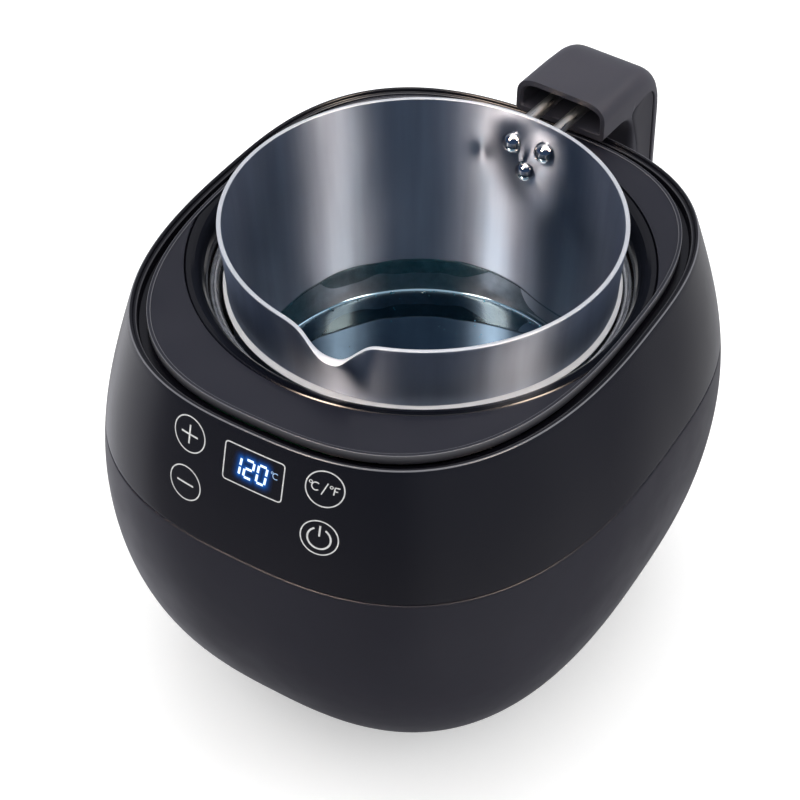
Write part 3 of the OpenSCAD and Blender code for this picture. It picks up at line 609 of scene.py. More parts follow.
GRIP_W = 38.0
GRIP_MOUTH_Y = 88.0
GRIP_BACK = 139.0
GRIP_THICK = 21.0
GRIP_LEAN = 8.0  # the back stands this much further out at its lower end
GRIP_TOP = box_mm("grip_shell")[1][2]
GRIP_END = box_mm("grip_shell")[0][2]
GRIP_RINGS = 70
END_RINGS = 9  # rings over which the lower end rounds off
END_SHARE = 0.58  # what is left of the thickness at the very end
HOOD_RINGS = 26  # rings over which the hood's section turns into the leg's
HOOD_FLOOR = DECK_Z + 2.5
HOOD_T = 2.4
SEAT_Y = 110.0  # how far back the hood is hollow
PANEL_IN = 1.0  # depth of the recess for the panel in each side
PANEL_FACE = GRIP_W / 2 - 0.45
PANEL_FRONT = 3.0  # strips of the grip's side around the panel
PANEL_BACK = 7.0
PANEL_END = 12.0


def resample(path, count):
    """count points at equal steps along a path."""
    path = np.array(path, float)
    along = np.concatenate([[0], np.cumsum(np.linalg.norm(np.diff(path, axis=0), axis=1))])
    want = np.linspace(0, along[-1], count)
    return np.column_stack([np.interp(want, along, path[:, k]) for k in range(path.shape[1])])


def grip_curves(count):
    """The grip's curves over its back and under its hood, as (y, z)."""
    outer = fillet([
        (GRIP_MOUTH_Y, GRIP_TOP), (GRIP_BACK - GRIP_LEAN, GRIP_TOP), (GRIP_BACK, GRIP_END)
    ], 20, 16)
    inner = fillet([
        (GRIP_MOUTH_Y, HOOD_FLOOR), (GRIP_BACK - GRIP_LEAN - GRIP_THICK + 0.5, HOOD_FLOOR),
        (GRIP_BACK - GRIP_THICK, GRIP_END)
    ], 12, 16)
    return resample(outer, count), resample(inner, count)


def section(thick, width, outer_r, inner_r):
    """A rounded box section, as (across, through), from the middle of its inner side."""
    half = width / 2
    corners = [(0, 0), (half, 0), (half, thick), (-half, thick), (-half, 0), (0, 0)]
    return np.array(fillet(corners, [inner_r, outer_r, outer_r, inner_r], 8)[:-1])


def build_grip_shell():
    """The grip: hood, back and leg in one sweep, hollow at its mouth and recessed at its sides."""
    rings = []
    for k, (far, near) in enumerate(zip(*grip_curves(GRIP_RINGS))):
        left = min(1.0, (GRIP_RINGS - 1 - k) / END_RINGS)
        squeeze = END_SHARE + (1 - END_SHARE) * math.sqrt(1 - (1 - left) ** 2)
        middle, reach = (far + near) / 2, (far - near) * squeeze
        near = middle - reach / 2
        thick = np.linalg.norm(reach)
        width = GRIP_W * (0.5 + 0.5 * squeeze)
        leg = min(1.0, k / HOOD_RINGS)
        ring = section(thick, width, 9.5 - 2.5 * leg, 1.6 + 2.4 * leg)
        points = [(across, *(near + reach / thick * up)) for across, up in ring]
        rings.append(turn_pot(points))
    shell = skin("grip_casing", rings)
    shell = cut_away(shell, mouth_tool())
    return cut_away(shell, panel_tool())


def mouth_tool():
    """What hollows the hood out back to the rods' seat."""
    half = GRIP_W / 2 - HOOD_T
    low, high = HOOD_FLOOR + HOOD_T, GRIP_TOP - HOOD_T
    loop = box_loop(-half, half, low, high, [1.2, 8, 8, 1.2], 8)
    middle = np.array([0, (low + high) / 2])
    mouth = GRIP_MOUTH_Y
    depths = ((SEAT_Y, 0.94), (SEAT_Y - 1, 1), (mouth + 0.8, 1), (mouth - 0.2, 1.07), (mouth - 8, 1.07))
    return skin("mouth", [turn_pot(at_depth(middle + (loop - middle) * grow, y)) for y, grow in depths])


def panel_outline(inset):
    """Arched outline of the panel in the grip's side, as (y, z)."""
    lean = GRIP_LEAN / (GRIP_TOP - GRIP_END)
    back = GRIP_BACK - PANEL_BACK - inset
    front = GRIP_BACK - GRIP_THICK + PANEL_FRONT + inset
    low = GRIP_END + PANEL_END + inset
    rise = DECK_Z - low
    corners = [
        (front + 6, low), (back, low), (back - lean * (rise + 8), DECK_Z + 8),
        (front - lean * rise - 7 + inset, DECK_Z + 4 - inset), (front - lean * rise + 1, DECK_Z - 16),
        (front, low), (front + 6, low)
    ]
    return resample(fillet(corners, [5, 9, 4, 12, 5], 12)[:-1], 160)


def panel_rings(steps):
    """Rings across the grip from (x, inset of the panel's outline) steps."""
    rings = []
    for x, inset in steps:
        loop = panel_outline(inset)
        rings.append(turn_pot(np.column_stack((np.full(len(loop), x), loop))))
    return rings


def both_sides(name, steps):
    """The same solid of (x, inset) steps on both sides of the grip."""
    return join(name, [
        skin("side", panel_rings([(side * x, inset) for x, inset in steps])) for side in (-1, 1)
    ])


def panel_tool():
    """The recesses for the panels, with a chamfered edge."""
    half = GRIP_W / 2
    steps = ((half - PANEL_IN, 0), (half - 0.35, 0), (half + 0.05, -0.4), (half + 3, -0.4))
    return both_sides("panel_cuts", steps)


def build_grip_core():
    """The panels, slightly crowned and rounded at their edges."""
    return both_sides("grip_panels", (
        (PANEL_FACE - 0.05, 2.0), (PANEL_FACE, 1.2), (PANEL_FACE - 0.1, 0.6), (PANEL_FACE - 0.5, 0.2),
        (GRIP_W / 2 - PANEL_IN - 0.05, 0.15)
    ))


# ---- printed panel and display ----

PANEL_LEAN = math.cos(math.radians(14))
LINE_W = 0.42
STROKE_W = 0.62
KEY_R = 6.3
BAR_HALF = 3.4  # half length of the plus and minus bars
UNIT_W = 0.4
PRINT_LIFT = 0.03
PRINT_T = 0.03


def on_front(points, centre, lift):
    """(right, up) points around a centre, laid on the casing's front."""
    return [front_point(centre[0] + u, centre[1] + v * PANEL_LEAN, lift) for u, v in points]


def stroke(path, width, centre, closed=False):
    """A flat line of ink along a path of (right, up) points around a centre on the casing's front."""
    path = np.array(path, float)
    before = np.roll(path, 1, axis=0)
    after = np.roll(path, -1, axis=0)
    if not closed:
        before[0], after[-1] = path[0], path[-1]
    along = after - before
    along /= np.linalg.norm(along, axis=1)[:, None]
    side = np.column_stack((-along[:, 1], along[:, 0])) * width / 2
    rails = []
    top = PRINT_LIFT + PRINT_T
    for edge, lift in ((side, PRINT_LIFT), (side, top), (-side, top), (-side, PRINT_LIFT)):
        rails.append(np.array(on_front(path + edge, centre, lift)))
    rings = [np.array([rail[i] for rail in rails]) for i in range(len(path))]
    return skin("stroke", rings, loop=closed)


def arc_path(radius, start, end, steps=48, middle=(0, 0)):
    return polar(radius, np.radians(np.linspace(start, end, steps + 1))) + np.array(middle)


def ring_stroke(radius, width, centre, middle=(0, 0), steps=72):
    return stroke(arc_path(radius, 0, 360, steps, middle)[:-1], width, centre, closed=True)


def line(a, b, width, centre):
    return stroke(np.linspace(a, b, 6), width, centre)


def key_ring(centre):
    return ring_stroke(KEY_R, LINE_W, centre)


def bar(right, up, centre):
    """A bar through the middle of a key."""
    return line((-right, -up), (right, up), STROKE_W, centre)


def print_plus(centre):
    return join("key_plus", [key_ring(centre), bar(BAR_HALF, 0, centre), bar(0, BAR_HALF, centre)])


def print_minus(centre):
    return join("key_minus", [key_ring(centre), bar(BAR_HALF, 0, centre)])


def print_power(centre):
    swirl = stroke(arc_path(3.9, 118, 422, 40, (0, -0.2)), STROKE_W, centre)
    return join("key_power", [key_ring(centre), swirl, line((0, 0.6), (0, 4.6), STROKE_W, centre)])


def degree_c(centre, middle, size, width):
    """A degree ring and an open C, size high."""
    x, y = middle
    ring = ring_stroke(0.15 * size, width * 0.7, centre, (x - 0.55 * size, y + 0.36 * size), 20)
    bow = stroke(arc_path(0.42 * size, 50, 310, 24, (x, y)), width, centre)
    return [ring, bow]


def degree_f(centre, middle, size, width):
    """A degree ring and an F, size high."""
    x, y = middle
    ring = ring_stroke(0.15 * size, width * 0.7, centre, (x - 0.42 * size, y + 0.36 * size), 20)
    stem = line((x - 0.12 * size, y - 0.45 * size), (x - 0.05 * size, y + 0.45 * size), width, centre)
    top = line((x - 0.05 * size, y + 0.42 * size), (x + 0.45 * size, y + 0.42 * size), width, centre)
    bar = line((x - 0.08 * size, y), (x + 0.28 * size, y), width, centre)
    return [ring, stem, top, bar]


def print_units(centre):
    marks = degree_c(centre, (-2.9, 0.3), 3.3, UNIT_W) + degree_f(centre, (3.4, 0.1), 3.1, UNIT_W)
    slash = line((-0.9, -2.1), (0.9, 2.3), UNIT_W, centre)
    return join("key_units", [key_ring(centre), slash] + marks)


def print_window(centre, width, height):
    """The thin frame around the display's window."""
    half, rise = width / 2, height / 2
    path = resample(box_loop(-half, half, -rise, rise, 1.4, 6), 120)
    frame_line = stroke(path[:-1], LINE_W, centre, closed=True)
    frame_line.name = "display_frame"
    return frame_line


# The seven segments by their usual letters, as the (right, up) of their ends
SEGMENTS = {
    "a": ((0, 1), (1, 1)), "b": ((1, 1), (1, 0)), "c": ((1, 0), (1, -1)), "d": ((0, -1), (1, -1)),
    "e": ((0, 0), (0, -1)), "f": ((0, 1), (0, 0)), "g": ((0, 0), (1, 0)),
}
DIGITS = {"1": "bc", "2": "abged", "0": "abcdef"}
DIGIT_W = 3.1
DIGIT_H = 3.3  # half height
DIGIT_STEP = 4.8
DIGIT_LINE = 0.82
DIGIT_GAP = 0.38  # gap at each end of a lit segment
SLANT = 0.1
DISPLAY_TEXT = "120"
GLOW_LIFT = 0.02
GLOW_GRID = (90, 60)
GLOW_CORE = 0.3  # full light this far from the segments, then it falls off
GLOW_FALL = 0.75


def digit_strokes():
    """The (right, up) of both ends of every lit segment, centred on the text."""
    found = []
    start = -(len(DISPLAY_TEXT) - 1) / 2 * DIGIT_STEP - DIGIT_W / 2
    for k, digit in enumerate(DISPLAY_TEXT):
        for name in DIGITS[digit]:
            ends = np.array([(start + k * DIGIT_STEP + u * DIGIT_W, v * DIGIT_H) for u, v in SEGMENTS[name]])
            gap = (ends[1] - ends[0]) / np.linalg.norm(ends[1] - ends[0]) * DIGIT_GAP
            ends = ends + np.array([gap, -gap])
            ends[:, 0] += SLANT * ends[:, 1]
            found.append(ends)
    return found


def build_digits(centre):
    return join("display_digits", [line(a, b, DIGIT_LINE, centre) for a, b in digit_strokes()])


def glow_level(points):
    """Light at points of the window: 1 at the lit segments, falling off around them."""
    distance = np.full(len(points), 1e3)
    for a, b in digit_strokes():
        t = np.clip((points - a) @ (b - a) / np.dot(b - a, b - a), 0, 1)
        distance = np.minimum(distance, np.linalg.norm(points - a - t[:, None] * (b - a), axis=1))
    return np.exp(-np.maximum(distance - GLOW_CORE, 0) / GLOW_FALL)


def sheet_faces(columns, rows):
    """Faces of a thin closed sheet made of two grids of points."""
    n = columns * rows
    faces = []
    for j in range(rows - 1):
        for i in range(columns - 1):
            a = j * columns + i
            faces.append((a, a + 1, a + columns + 1, a + columns))
            faces.append((n + a, n + a + columns, n + a + columns + 1, n + a + 1))
    border = list(range(columns)) + [j * columns + columns - 1 for j in range(1, rows)]
    border += [(rows - 1) * columns + i for i in range(columns - 2, -1, -1)]
    border += [j * columns for j in range(rows - 2, 0, -1)]
    for a, b in zip(border, border[1:] + border[:1]):
        faces.append((a, n + a, n + b, b))
    return faces


def build_glow(centre, width, height):
    """A faint sheet of light in the window. Its attribute "glow" says how much light a point gives."""
    columns, rows = GLOW_GRID
    across, up = np.meshgrid(
        np.linspace(-width / 2, width / 2, columns), np.linspace(-height / 2, height / 2, rows))
    points = np.column_stack((across.ravel(), up.ravel()))
    layers = [np.array(on_front(points, centre, lift)) for lift in (GLOW_LIFT, -GLOW_LIFT)]
    piece = make_object("display_glow", np.concatenate(layers), sheet_faces(columns, rows))
    add_values(piece, "glow", np.tile(glow_level(points), 2))
    return piece


# ---- materials ----


class Graph:
    """Short ways to add shader nodes to a node tree."""

    def __init__(self, owner):
        owner.use_nodes = True
        self.nodes = owner.node_tree.nodes
        self.links = owner.node_tree.links

    def feed(self, socket, value):
        """Gives a socket a number, a vector, a colour or another node's output."""
        if isinstance(value, bpy.types.NodeSocket):
            self.links.new(value, socket)
        elif socket.type == "RGBA":
            socket.default_value = (*value, 1)
        else:
            socket.default_value = value

    def add(self, kind, inputs, **settings):
        """A node with its settings and what goes into its inputs, by name or number."""
        node = self.nodes.new("ShaderNode" + kind)
        for name, value in settings.items():
            setattr(node, name, value)
        for name, value in inputs.items():
            self.feed(node.inputs[name], value)
        return node

    def spread(self, value, low, high, from_low=0.3, from_high=0.7, kind="LINEAR"):
        """Maps a value to the range low to high."""
        limits = {"From Min": from_low, "From Max": from_high, "To Min": low, "To Max": high}
        return self.add("MapRange", {"Value": value, **limits}, interpolation_type=kind).outputs["Result"]

    def ease(self, value, low, high):
        """Rises softly from 0 at low to 1 at high."""
        return self.spread(value, 0.0, 1.0, low, high, "SMOOTHSTEP")

    def blend(self, factor, first, second):
        """Mixes two colours. Each of the three is a value or an output."""
        node = self.add("Mix", {"Factor": factor}, data_type="RGBA")
        for socket, value in zip([s for s in node.inputs if s.type == "RGBA"], (first, second)):
            self.feed(socket, value)
        return [s for s in node.outputs if s.type == "RGBA"][0]

    def maths(self, kind, *values):
        return self.add("Math", dict(enumerate(values)), operation=kind).outputs[0]

    def vector(self, kind, *values):
        node = self.add("VectorMath", dict(enumerate(values)), operation=kind)
        return node.outputs["Value" if kind == "DOT_PRODUCT" else "Vector"]

    def mark(self, name):
        """The values that a mesh keeps under a name."""
        return self.add("Attribute", {}, attribute_name=name).outputs["Fac"]


class Look(Graph):
    """A node-based material built around one Principled shader."""

    def __init__(self, name, colour, roughness, metallic=0.0):
        self.material = bpy.data.materials.new(name)
        super().__init__(self.material)
        self.shader = self.nodes["Principled BSDF"]
        self.put(Base_Color=colour, Roughness=roughness, Metallic=metallic)
        self.place = self.add("TexCoord", {}).outputs["Object"]

    def put(self, **values):
        """Feeds the shader's inputs, whose names have _ for each space."""
        for name, value in values.items():
            self.feed(self.shader.inputs[name.replace("_", " ")], value)

    def stretch(self, scale):
        """The object's coordinates in metres, scaled along each axis."""
        return self.add("Mapping", {"Scale": scale, "Vector": self.place}).outputs["Vector"]

    def noise(self, scale, detail=3.0, vector=None, rough=0.5):
        inputs = {"Scale": scale, "Detail": detail, "Roughness": rough, "Vector": vector or self.place}
        return self.add("TexNoise", inputs).outputs["Fac"]

    def mottle(self, value, colour, low, high):
        """A colour between low and high times its own brightness, as value goes."""
        return self.blend(self.spread(value, 0, 1), shade(colour, low), shade(colour, high))

    def bump(self, height, strength, distance, **below):
        """Raises the surface by a height, in metres. below is Normal=the bump under this one."""
        inputs = {"Strength": strength, "Distance": distance, "Height": height, **below}
        normal = self.add("Bump", inputs).outputs["Normal"]
        self.put(Normal=normal)
        return normal


def shade(colour, factor):
    return tuple(min(1.0, c * factor) for c in colour)


# The colour of the painted highlight on edges that a mesh marks in its "edge" attribute.
EDGE_HIGHLIGHT_TONE = (0.15, 0.15, 0.165)


def moulded_plastic(name, colour, roughness, grain):
    """Moulded plastic: a fine grain, slow changes of gloss and tone, and a painted highlight on edges where
    marked.
    """
    look = Look(name, colour, roughness)
    tone = look.mottle(look.noise(14, 2), colour, 0.88, 1.12)
    gloss = look.spread(look.noise(55, 4), roughness * 0.88, roughness * 1.14)
    look.put(Base_Color=look.blend(look.mark("edge"), tone, EDGE_HIGHLIGHT_TONE), Roughness=gloss)
    look.bump(look.noise(2600, 2), grain, 0.00004)
    return look


def brushed_metal(name, colour, roughness, stretch, metallic=1.0):
    """Metal with fine lines along one direction."""
    look = Look(name, colour, roughness, metallic)
    lines = look.noise(1, 3, look.stretch(stretch))
    gloss = look.spread(lines, roughness * 0.75, roughness * 1.3)
    look.put(Base_Color=look.mottle(look.noise(30, 3), colour, 0.9, 1.06), Roughness=gloss)
    look.bump(lines, 0.12, 0.00003)
    return look


def soft_matter(name, colour, roughness, scale, depth):
    """Rubber, felt or ceramic: a soft uneven surface."""
    look = Look(name, colour, roughness)
    grain = look.noise(scale, 4, rough=0.6)
    look.put(Base_Color=look.mottle(grain, colour, 0.8, 1.1))
    look.bump(grain, 0.4, depth)
    return look


def circuit_board(name):
    """Green lacquer with lighter copper tracks under it."""
    lacquer = (0.02, 0.16, 0.07)
    look = Look(name, lacquer, 0.35)
    cells = look.add("TexVoronoi", {"Scale": 420, "Vector": look.place}, distance="MANHATTAN")
    copper = look.spread(cells.outputs["Distance"], 0, 1, 0.42, 0.46)
    look.put(Base_Color=look.blend(copper, lacquer, (0.05, 0.26, 0.12)))
    look.bump(copper, 0.3, 0.00003)
    return look


def pot_aluminium(name):
    """Spun aluminium: rings of fine lines, smudges, streaks down the wall, and a painted highlight with a
    faint painted glow on marked edges.
    """
    # The metal is tinted darker and bluer than bare aluminium: painted reflection of the dark blue wax and
    # of the shaded wall across the pot.
    colour = (0.31, 0.365, 0.465)
    look = Look(name, colour, 0.45, 1.0)
    lines = look.noise(1, 2, look.stretch((60, 60, 5200)))
    streak = look.noise(1, 3, look.stretch((85, 85, 6)))
    edge = look.mark("edge")
    # Where "edge" marks, the colour turns light grey, the metal turns dielectric, the brushing fades and a
    # faint glow is added: a painted highlight.
    look.put(
        Base_Color=look.blend(edge, look.mottle(streak, colour, 0.8, 1.12), (0.76, 0.76, 0.78)),
        Metallic=look.spread(edge, 1.0, 0.0, 0.0, 1.0),
        Roughness=look.spread(look.noise(38, 5, rough=0.6), 0.37, 0.46),
        Emission_Color=(1, 1, 1), Emission_Strength=look.spread(edge, 0.0, 0.16, 0.5, 1.0),
        Anisotropic=look.spread(edge, 0.97, 0.0, 0.0, 1.0), Anisotropic_Rotation=0.25,
        Tangent=look.vector("CROSS_PRODUCT", (0, 0, 1), look.place))
    look.bump(streak, 0.25, 0.0004, Normal=look.bump(lines, 0.08, 0.00002))
    return look


def wax_liquid(name):
    """Melted wax: deep blue-black and mirror-like, with slow swirls."""
    look = Look(name, (0.25, 0.34, 0.4), 0.03, 1.0)
    swirl = look.spread(look.noise(26, 5, rough=0.65), 0, 1)
    look.put(Base_Color=look.blend(swirl, (0.13, 0.2, 0.26), (0.19, 0.28, 0.35)))
    look.bump(look.noise(40, 2), 0.05, 0.0006)
    return look


def wax_tint(name, colour, alpha, roughness):
    """A thin see-through layer of wax, a little thicker in patches."""
    look = Look(name, colour, roughness)
    patch = look.noise(70, 5, rough=0.6)
    look.put(Alpha=look.spread(patch, alpha * 0.6, min(1.0, alpha * 1.4)))
    look.put(Coat_Weight=0.6, Coat_Roughness=0.05)
    look.bump(patch, 0.2, 0.0003)
    return look


def printed_ink(name):
    """White ink, a little thin in places."""
    look = Look(name, (0.62, 0.62, 0.62), 0.45)
    grain = look.noise(900, 3)
    look.put(Base_Color=look.blend(look.spread(grain, 0, 1), (0.5, 0.5, 0.5), (0.7, 0.7, 0.69)))
    look.bump(grain, 0.1, 0.00002)
    return look


def lit_segments(name, colour, power):
    """Lit display segments, slightly uneven."""
    look = Look(name, (0.3, 0.4, 0.5), 0.4)
    look.put(Emission_Color=colour, Emission_Strength=look.spread(look.noise(300, 2), power, 1.3 * power))
    return look


def glow_sheet(name):
    """Blue light that scatters in the window around the lit segments."""
    look = Look(name, (0.0, 0.0, 0.0), 0.5)
    look.put(
        Alpha=look.spread(look.mark("glow"), 0.0, 0.75, 0.02, 1.0),
        Emission_Color=(0.02, 0.2, 0.85), Emission_Strength=0.8, Specular_IOR_Level=0.0)
    return look


# What each material needs after its name
PLASTICS = {
    "casing_satin": ((0.0125, 0.012, 0.019), 0.36, 0.12),
    "grip_panel": ((0.02, 0.0195, 0.026), 0.32, 0.015),
    "grip_satin": ((0.046, 0.045, 0.057), 0.4, 0.15),
    "casing_gloss": ((0.005, 0.0048, 0.0075), 0.2, 0.03),
    "deck_satin": ((0.012, 0.0125, 0.02), 0.33, 0.08),
    "collar_gloss": ((0.003, 0.003, 0.005), 0.16, 0.03),
    "black_plastic": ((0.02, 0.02, 0.021), 0.45, 0.25),
    "display_black": ((0.008, 0.008, 0.009), 0.12, 0.02),
    "relay_blue": ((0.02, 0.09, 0.33), 0.4, 0.2),
    "tape_yellow": ((0.6, 0.4, 0.04), 0.4, 0.2),
    "terminal_green": ((0.03, 0.22, 0.09), 0.45, 0.2),
    "cable_grey": ((0.36, 0.36, 0.38), 0.5, 0.3),
}
METALS = {
    "bowl_aluminium": ((0.5, 0.52, 0.56), 0.25, (60, 60, 4000), 0.7),
    "polished_steel": ((0.82, 0.81, 0.8), 0.07, (400, 400, 400)),
    "satin_steel": ((0.68, 0.67, 0.65), 0.34, (1800, 60, 1800)),
    "zinc_steel": ((0.55, 0.56, 0.58), 0.3, (300, 300, 300)),
    "heater_steel": ((0.2, 0.17, 0.15), 0.5, (200, 200, 200)),
    "cast_aluminium": ((0.5, 0.51, 0.53), 0.5, (500, 500, 500)),
    "brass": ((0.62, 0.46, 0.18), 0.28, (400, 400, 400)),
}
SOFT = {
    "red_silicone": ((0.42, 0.06, 0.04), 0.55, 900, 0.00003),
    "felt": ((0.78, 0.76, 0.7), 0.95, 700, 0.0004),
    "ceramic_white": ((0.78, 0.77, 0.73), 0.6, 1200, 0.00003),
    "lead_red": ((0.5, 0.03, 0.02), 0.5, 1500, 0.00002),
    "lead_brown": ((0.2, 0.08, 0.03), 0.5, 1500, 0.00002),
    "foot_rubber": ((0.018, 0.018, 0.018), 0.8, 1400, 0.00006),
}
WAXES = {
    "wax_film": ((0.004, 0.06, 0.085), 0.5, 0.16),
    "wax_bubbles": ((0.02, 0.2, 0.32), 0.8, 0.05),
}
LIGHTED = {
    "panel_light": ((0.72, 0.88, 1.0), 1.0),
    "panel_unit": ((0.3, 0.55, 1.0), 0.55),
}
RECIPES = (
    (moulded_plastic, PLASTICS), (brushed_metal, METALS), (soft_matter, SOFT), (wax_tint, WAXES),
    (lit_segments, LIGHTED), (circuit_board, {"circuit_board": ()}), (wax_liquid, {"wax_blue": ()}),
    (pot_aluminium, {"polished_aluminium": ()}), (printed_ink, {"panel_print": ()}),
    (glow_sheet, {"panel_glow": ()}),
)
LOOKS = {
    name: make(name, *values).material for make, table in RECIPES for name, values in table.items()
}


def paint_cad_nodes():
    """Gives every CAD node the material of its slot in the record."""
    for part in frame["record"]["subparts"]:
        mesh = frame["nodes"][part["node"]].data
        mesh.materials.clear()
        mesh.materials.append(LOOKS[part["material_slot"]])


# ---- assembly ----

KEY_PLUS = (-21.6, -10.4)  # places on the casing's front, as (right, above the deck)
KEY_MINUS = (-21.8, -28.4)
KEY_UNITS = (28.4, -9.4)
KEY_POWER = (28.7, -26.9)
WINDOW = (3.6, -12.5)
WINDOW_SIZE = (22.0, 14.0)


def add_casing():
    place(build_upper_shell(), "base", "casing_gloss", "casing_gloss", "upper_shell")
    place(build_lower_shell(), "base", "casing_satin", "casing_satin", "lower_shell")
    place(build_deck(), "base", "deck_satin", "deck_satin", "top_deck")


def add_panel():
    keys = (print_plus(KEY_PLUS), print_minus(KEY_MINUS), print_units(KEY_UNITS), print_power(KEY_POWER))
    for piece in (*keys, print_window(WINDOW, *WINDOW_SIZE)):
        place(piece, "base", "panel_print", "casing_gloss")
    digits = (WINDOW[0] - 1.6, WINDOW[1])
    place(build_digits(digits), "base", "panel_light", "display_black")
    unit = join("display_unit", degree_c((WINDOW[0] + 8.2, WINDOW[1] + 1.6), (0, 0), 2.5, 0.2))
    place(unit, "base", "panel_unit", "display_black")
    glow = build_glow(digits, WINDOW_SIZE[0] - 4, WINDOW_SIZE[1] - 1)
    place(glow, "base", "panel_glow", "display_black")


def add_pot():
    place(build_pot(), "pot", "polished_aluminium", "polished_aluminium", "pot")
    place(build_wax(), "pot", "wax_blue", "wax_blue", "wax")
    place(build_film(), "pot", "wax_film", "wax_blue")
    place(build_bubbles(), "pot", "wax_bubbles", "wax_blue")
    rivets = join("rivets", [build_rivet(x, z) for x, z in RIVETS], 50)
    place(rivets, "pot", "polished_steel", "polished_steel", "handle_rivets")
    place(build_grip_shell(), "pot", "grip_satin", "casing_satin", "grip_shell")
    place(build_grip_core(), "pot", "grip_panel", "deck_satin", "grip_core")


# ---- stage ----

CAMERA_TURN = math.radians(31.5)
CAMERA_PITCH = math.radians(46.37)
CAMERA_PLACE = (0.2457, -0.4147, DECK_Z * MM + 0.389)
CAMERA_LENS = 81
FLOOR_R = 620.0
FLOOR_GAP = 0.4  # the feet stand this far above the floor


def add_camera():
    camera = add_object("camera", bpy.data.cameras.new("camera"))
    camera.data.lens = CAMERA_LENS
    camera.location = CAMERA_PLACE
    camera.rotation_euler = (CAMERA_PITCH, 0, CAMERA_TURN)
    bpy.context.scene.camera = camera


def add_floor():
    verts = at_height(polar(FLOOR_R, around(96)), cad_box[0].z / MM - FLOOR_GAP)
    floor = make_object("floor", verts, [tuple(range(len(verts)))])
    look = Look("floor", (0.93, 0.93, 0.93), 0.6)
    look.bump(look.noise(300, 2), 0.02, 0.0001)
    look.put(Specular_IOR_Level=0.1, Emission_Color=(1, 1, 1), Emission_Strength=0.28)
    floor.data.materials.append(look.material)
    floor.visible_glossy = False


# Soft lights, as (name, place, size, watts), all aimed at the middle of the object
LIGHTS = (
    ("overhead", (-0.15, 0.25, 1.5), (1.1, 0.8), 5), ("left", (-1.2, -0.2, 0.7), (0.5, 1.0), 3),
    ("right", (1.1, 0.5, 0.5), (0.4, 0.9), 3),
)
LIGHT_AIM = (0, 0, 0.1)


def add_light(name, place_at, size, energy):
    """A soft light that shapes the shading. Reflections come from the world instead."""
    data = bpy.data.lights.new(name, "AREA")
    data.shape = "RECTANGLE"
    data.size, data.size_y = size
    data.energy = energy
    lamp = add_object(name, data)
    lamp.location = place_at
    aim = Vector(LIGHT_AIM) - Vector(place_at)
    lamp.rotation_euler = aim.to_track_quat("-Z", "Y").to_euler()
    lamp.visible_glossy = False


# What shiny surfaces see, from straight down (0) to straight up (1), as (height, red, green, blue):
# the front sky is on the camera's side and the back sky is beyond the object
FRONT_SKY = (
    (0.0, 0.16, 0.16, 0.18), (0.1, 0.16, 0.16, 0.18), (0.25, 0.2, 0.2, 0.23), (0.5, 0.04, 0.07, 0.13),
    (0.88, 0.012, 0.03, 0.08), (0.93, 0.6, 0.62, 0.68), (0.96, 1.5, 1.5, 1.5),
)
BACK_SKY = (
    (0.0, 0.4, 0.4, 0.43), (0.1, 0.42, 0.42, 0.45), (0.25, 0.48, 0.48, 0.5), (0.5, 0.36, 0.37, 0.42),
    (0.7, 0.25, 0.26, 0.31), (0.9, 0.36, 0.37, 0.41), (0.97, 1.5, 1.5, 1.5),
)
# Upright bright panels, as (direction, half width, lowest, highest, colour). Directions are
# degrees from +X towards +Y, and heights run from -1 straight down to 1 straight up.
PANELS = (
    (2, 9, 0.5, 0.97, (27.0, 21.5, 17.0)), (247, 9, 0.55, 0.97, (45.0, 34.5, 27.0)),
    (52, 7, 0.6, 0.95, (3.0, 3.0, 3.0)),
    (180, 28, -0.95, 0.1, (0.34, 0.34, 0.37)), (350, 40, -0.95, 0.1, (0.14, 0.14, 0.15)),
)


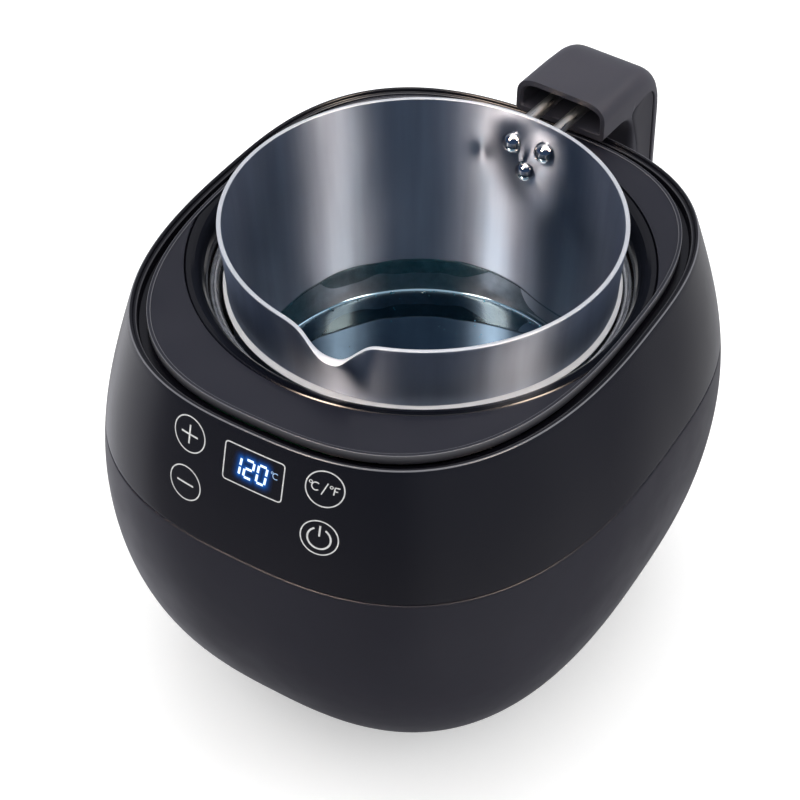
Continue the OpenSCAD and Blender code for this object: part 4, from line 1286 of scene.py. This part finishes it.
def sky_ramp(graph, height, stops):
    node = graph.add("ValToRGB", {"Fac": height})
    while len(node.color_ramp.elements) < len(stops):
        node.color_ramp.elements.new(0.5)
    for element, (position, *colour) in zip(node.color_ramp.elements, stops):
        element.position = position
        element.color = (*colour, 1)
    return node.outputs["Color"]


def panel_shape(graph, ray, height, direction, half, low, high):
    """1 inside one upright panel and 0 outside it, with soft edges."""
    flat = graph.vector("NORMALIZE", graph.vector("MULTIPLY", ray, (1, 1, 0)))
    turn = math.radians(direction)
    facing = graph.vector("DOT_PRODUCT", flat, (math.cos(turn), math.sin(turn), 0))
    outer, inner = [math.cos(math.radians(half * share)) for share in (1.35, 0.65)]
    across = graph.ease(facing, outer, inner)
    rise = graph.ease(height, low, low + 0.15)
    fall = graph.spread(height, 1.0, 0.0, high - 0.1, high, "SMOOTHSTEP")
    return graph.maths("MULTIPLY", across, graph.maths("MULTIPLY", rise, fall))


def add_world():
    """White to the camera and even for shading, with a studio of soft panels in the reflections."""
    world = bpy.data.worlds.new("studio")
    bpy.context.scene.world = world
    graph = Graph(world)
    graph.nodes.clear()
    ray = graph.add("TexCoord", {}).outputs["Generated"]
    height = graph.vector("DOT_PRODUCT", ray, (0, 0, 1))
    ahead = graph.vector("DOT_PRODUCT", ray, (-math.sin(CAMERA_TURN), math.cos(CAMERA_TURN), 0))
    level = graph.spread(height, 0.0, 1.0, -1.0, 1.0)
    behind = graph.ease(ahead, 0.05, 0.7)
    sky = graph.blend(behind, sky_ramp(graph, level, FRONT_SKY), sky_ramp(graph, level, BACK_SKY))
    for *shape, colour in PANELS:
        light = graph.vector("MULTIPLY", colour, panel_shape(graph, ray, height, *shape))
        sky = graph.vector("ADD", sky, light)
    room = graph.add("Background", {"Color": sky}).outputs[0]
    white = graph.add("Background", {"Color": (1, 1, 1)}).outputs[0]
    glossy = graph.add("LightPath", {}).outputs["Is Glossy Ray"]
    seen = graph.add("MixShader", {"Fac": glossy, 1: white, 2: room}).outputs[0]
    graph.add("OutputWorld", {"Surface": seen})


def add_stage():
    bpy.context.scene.view_settings.view_transform = "Standard"
    add_world()
    add_floor()
    for light in LIGHTS:
        add_light(*light)
    add_camera()


paint_cad_nodes()
add_casing()
add_panel()
add_pot()
add_stage()
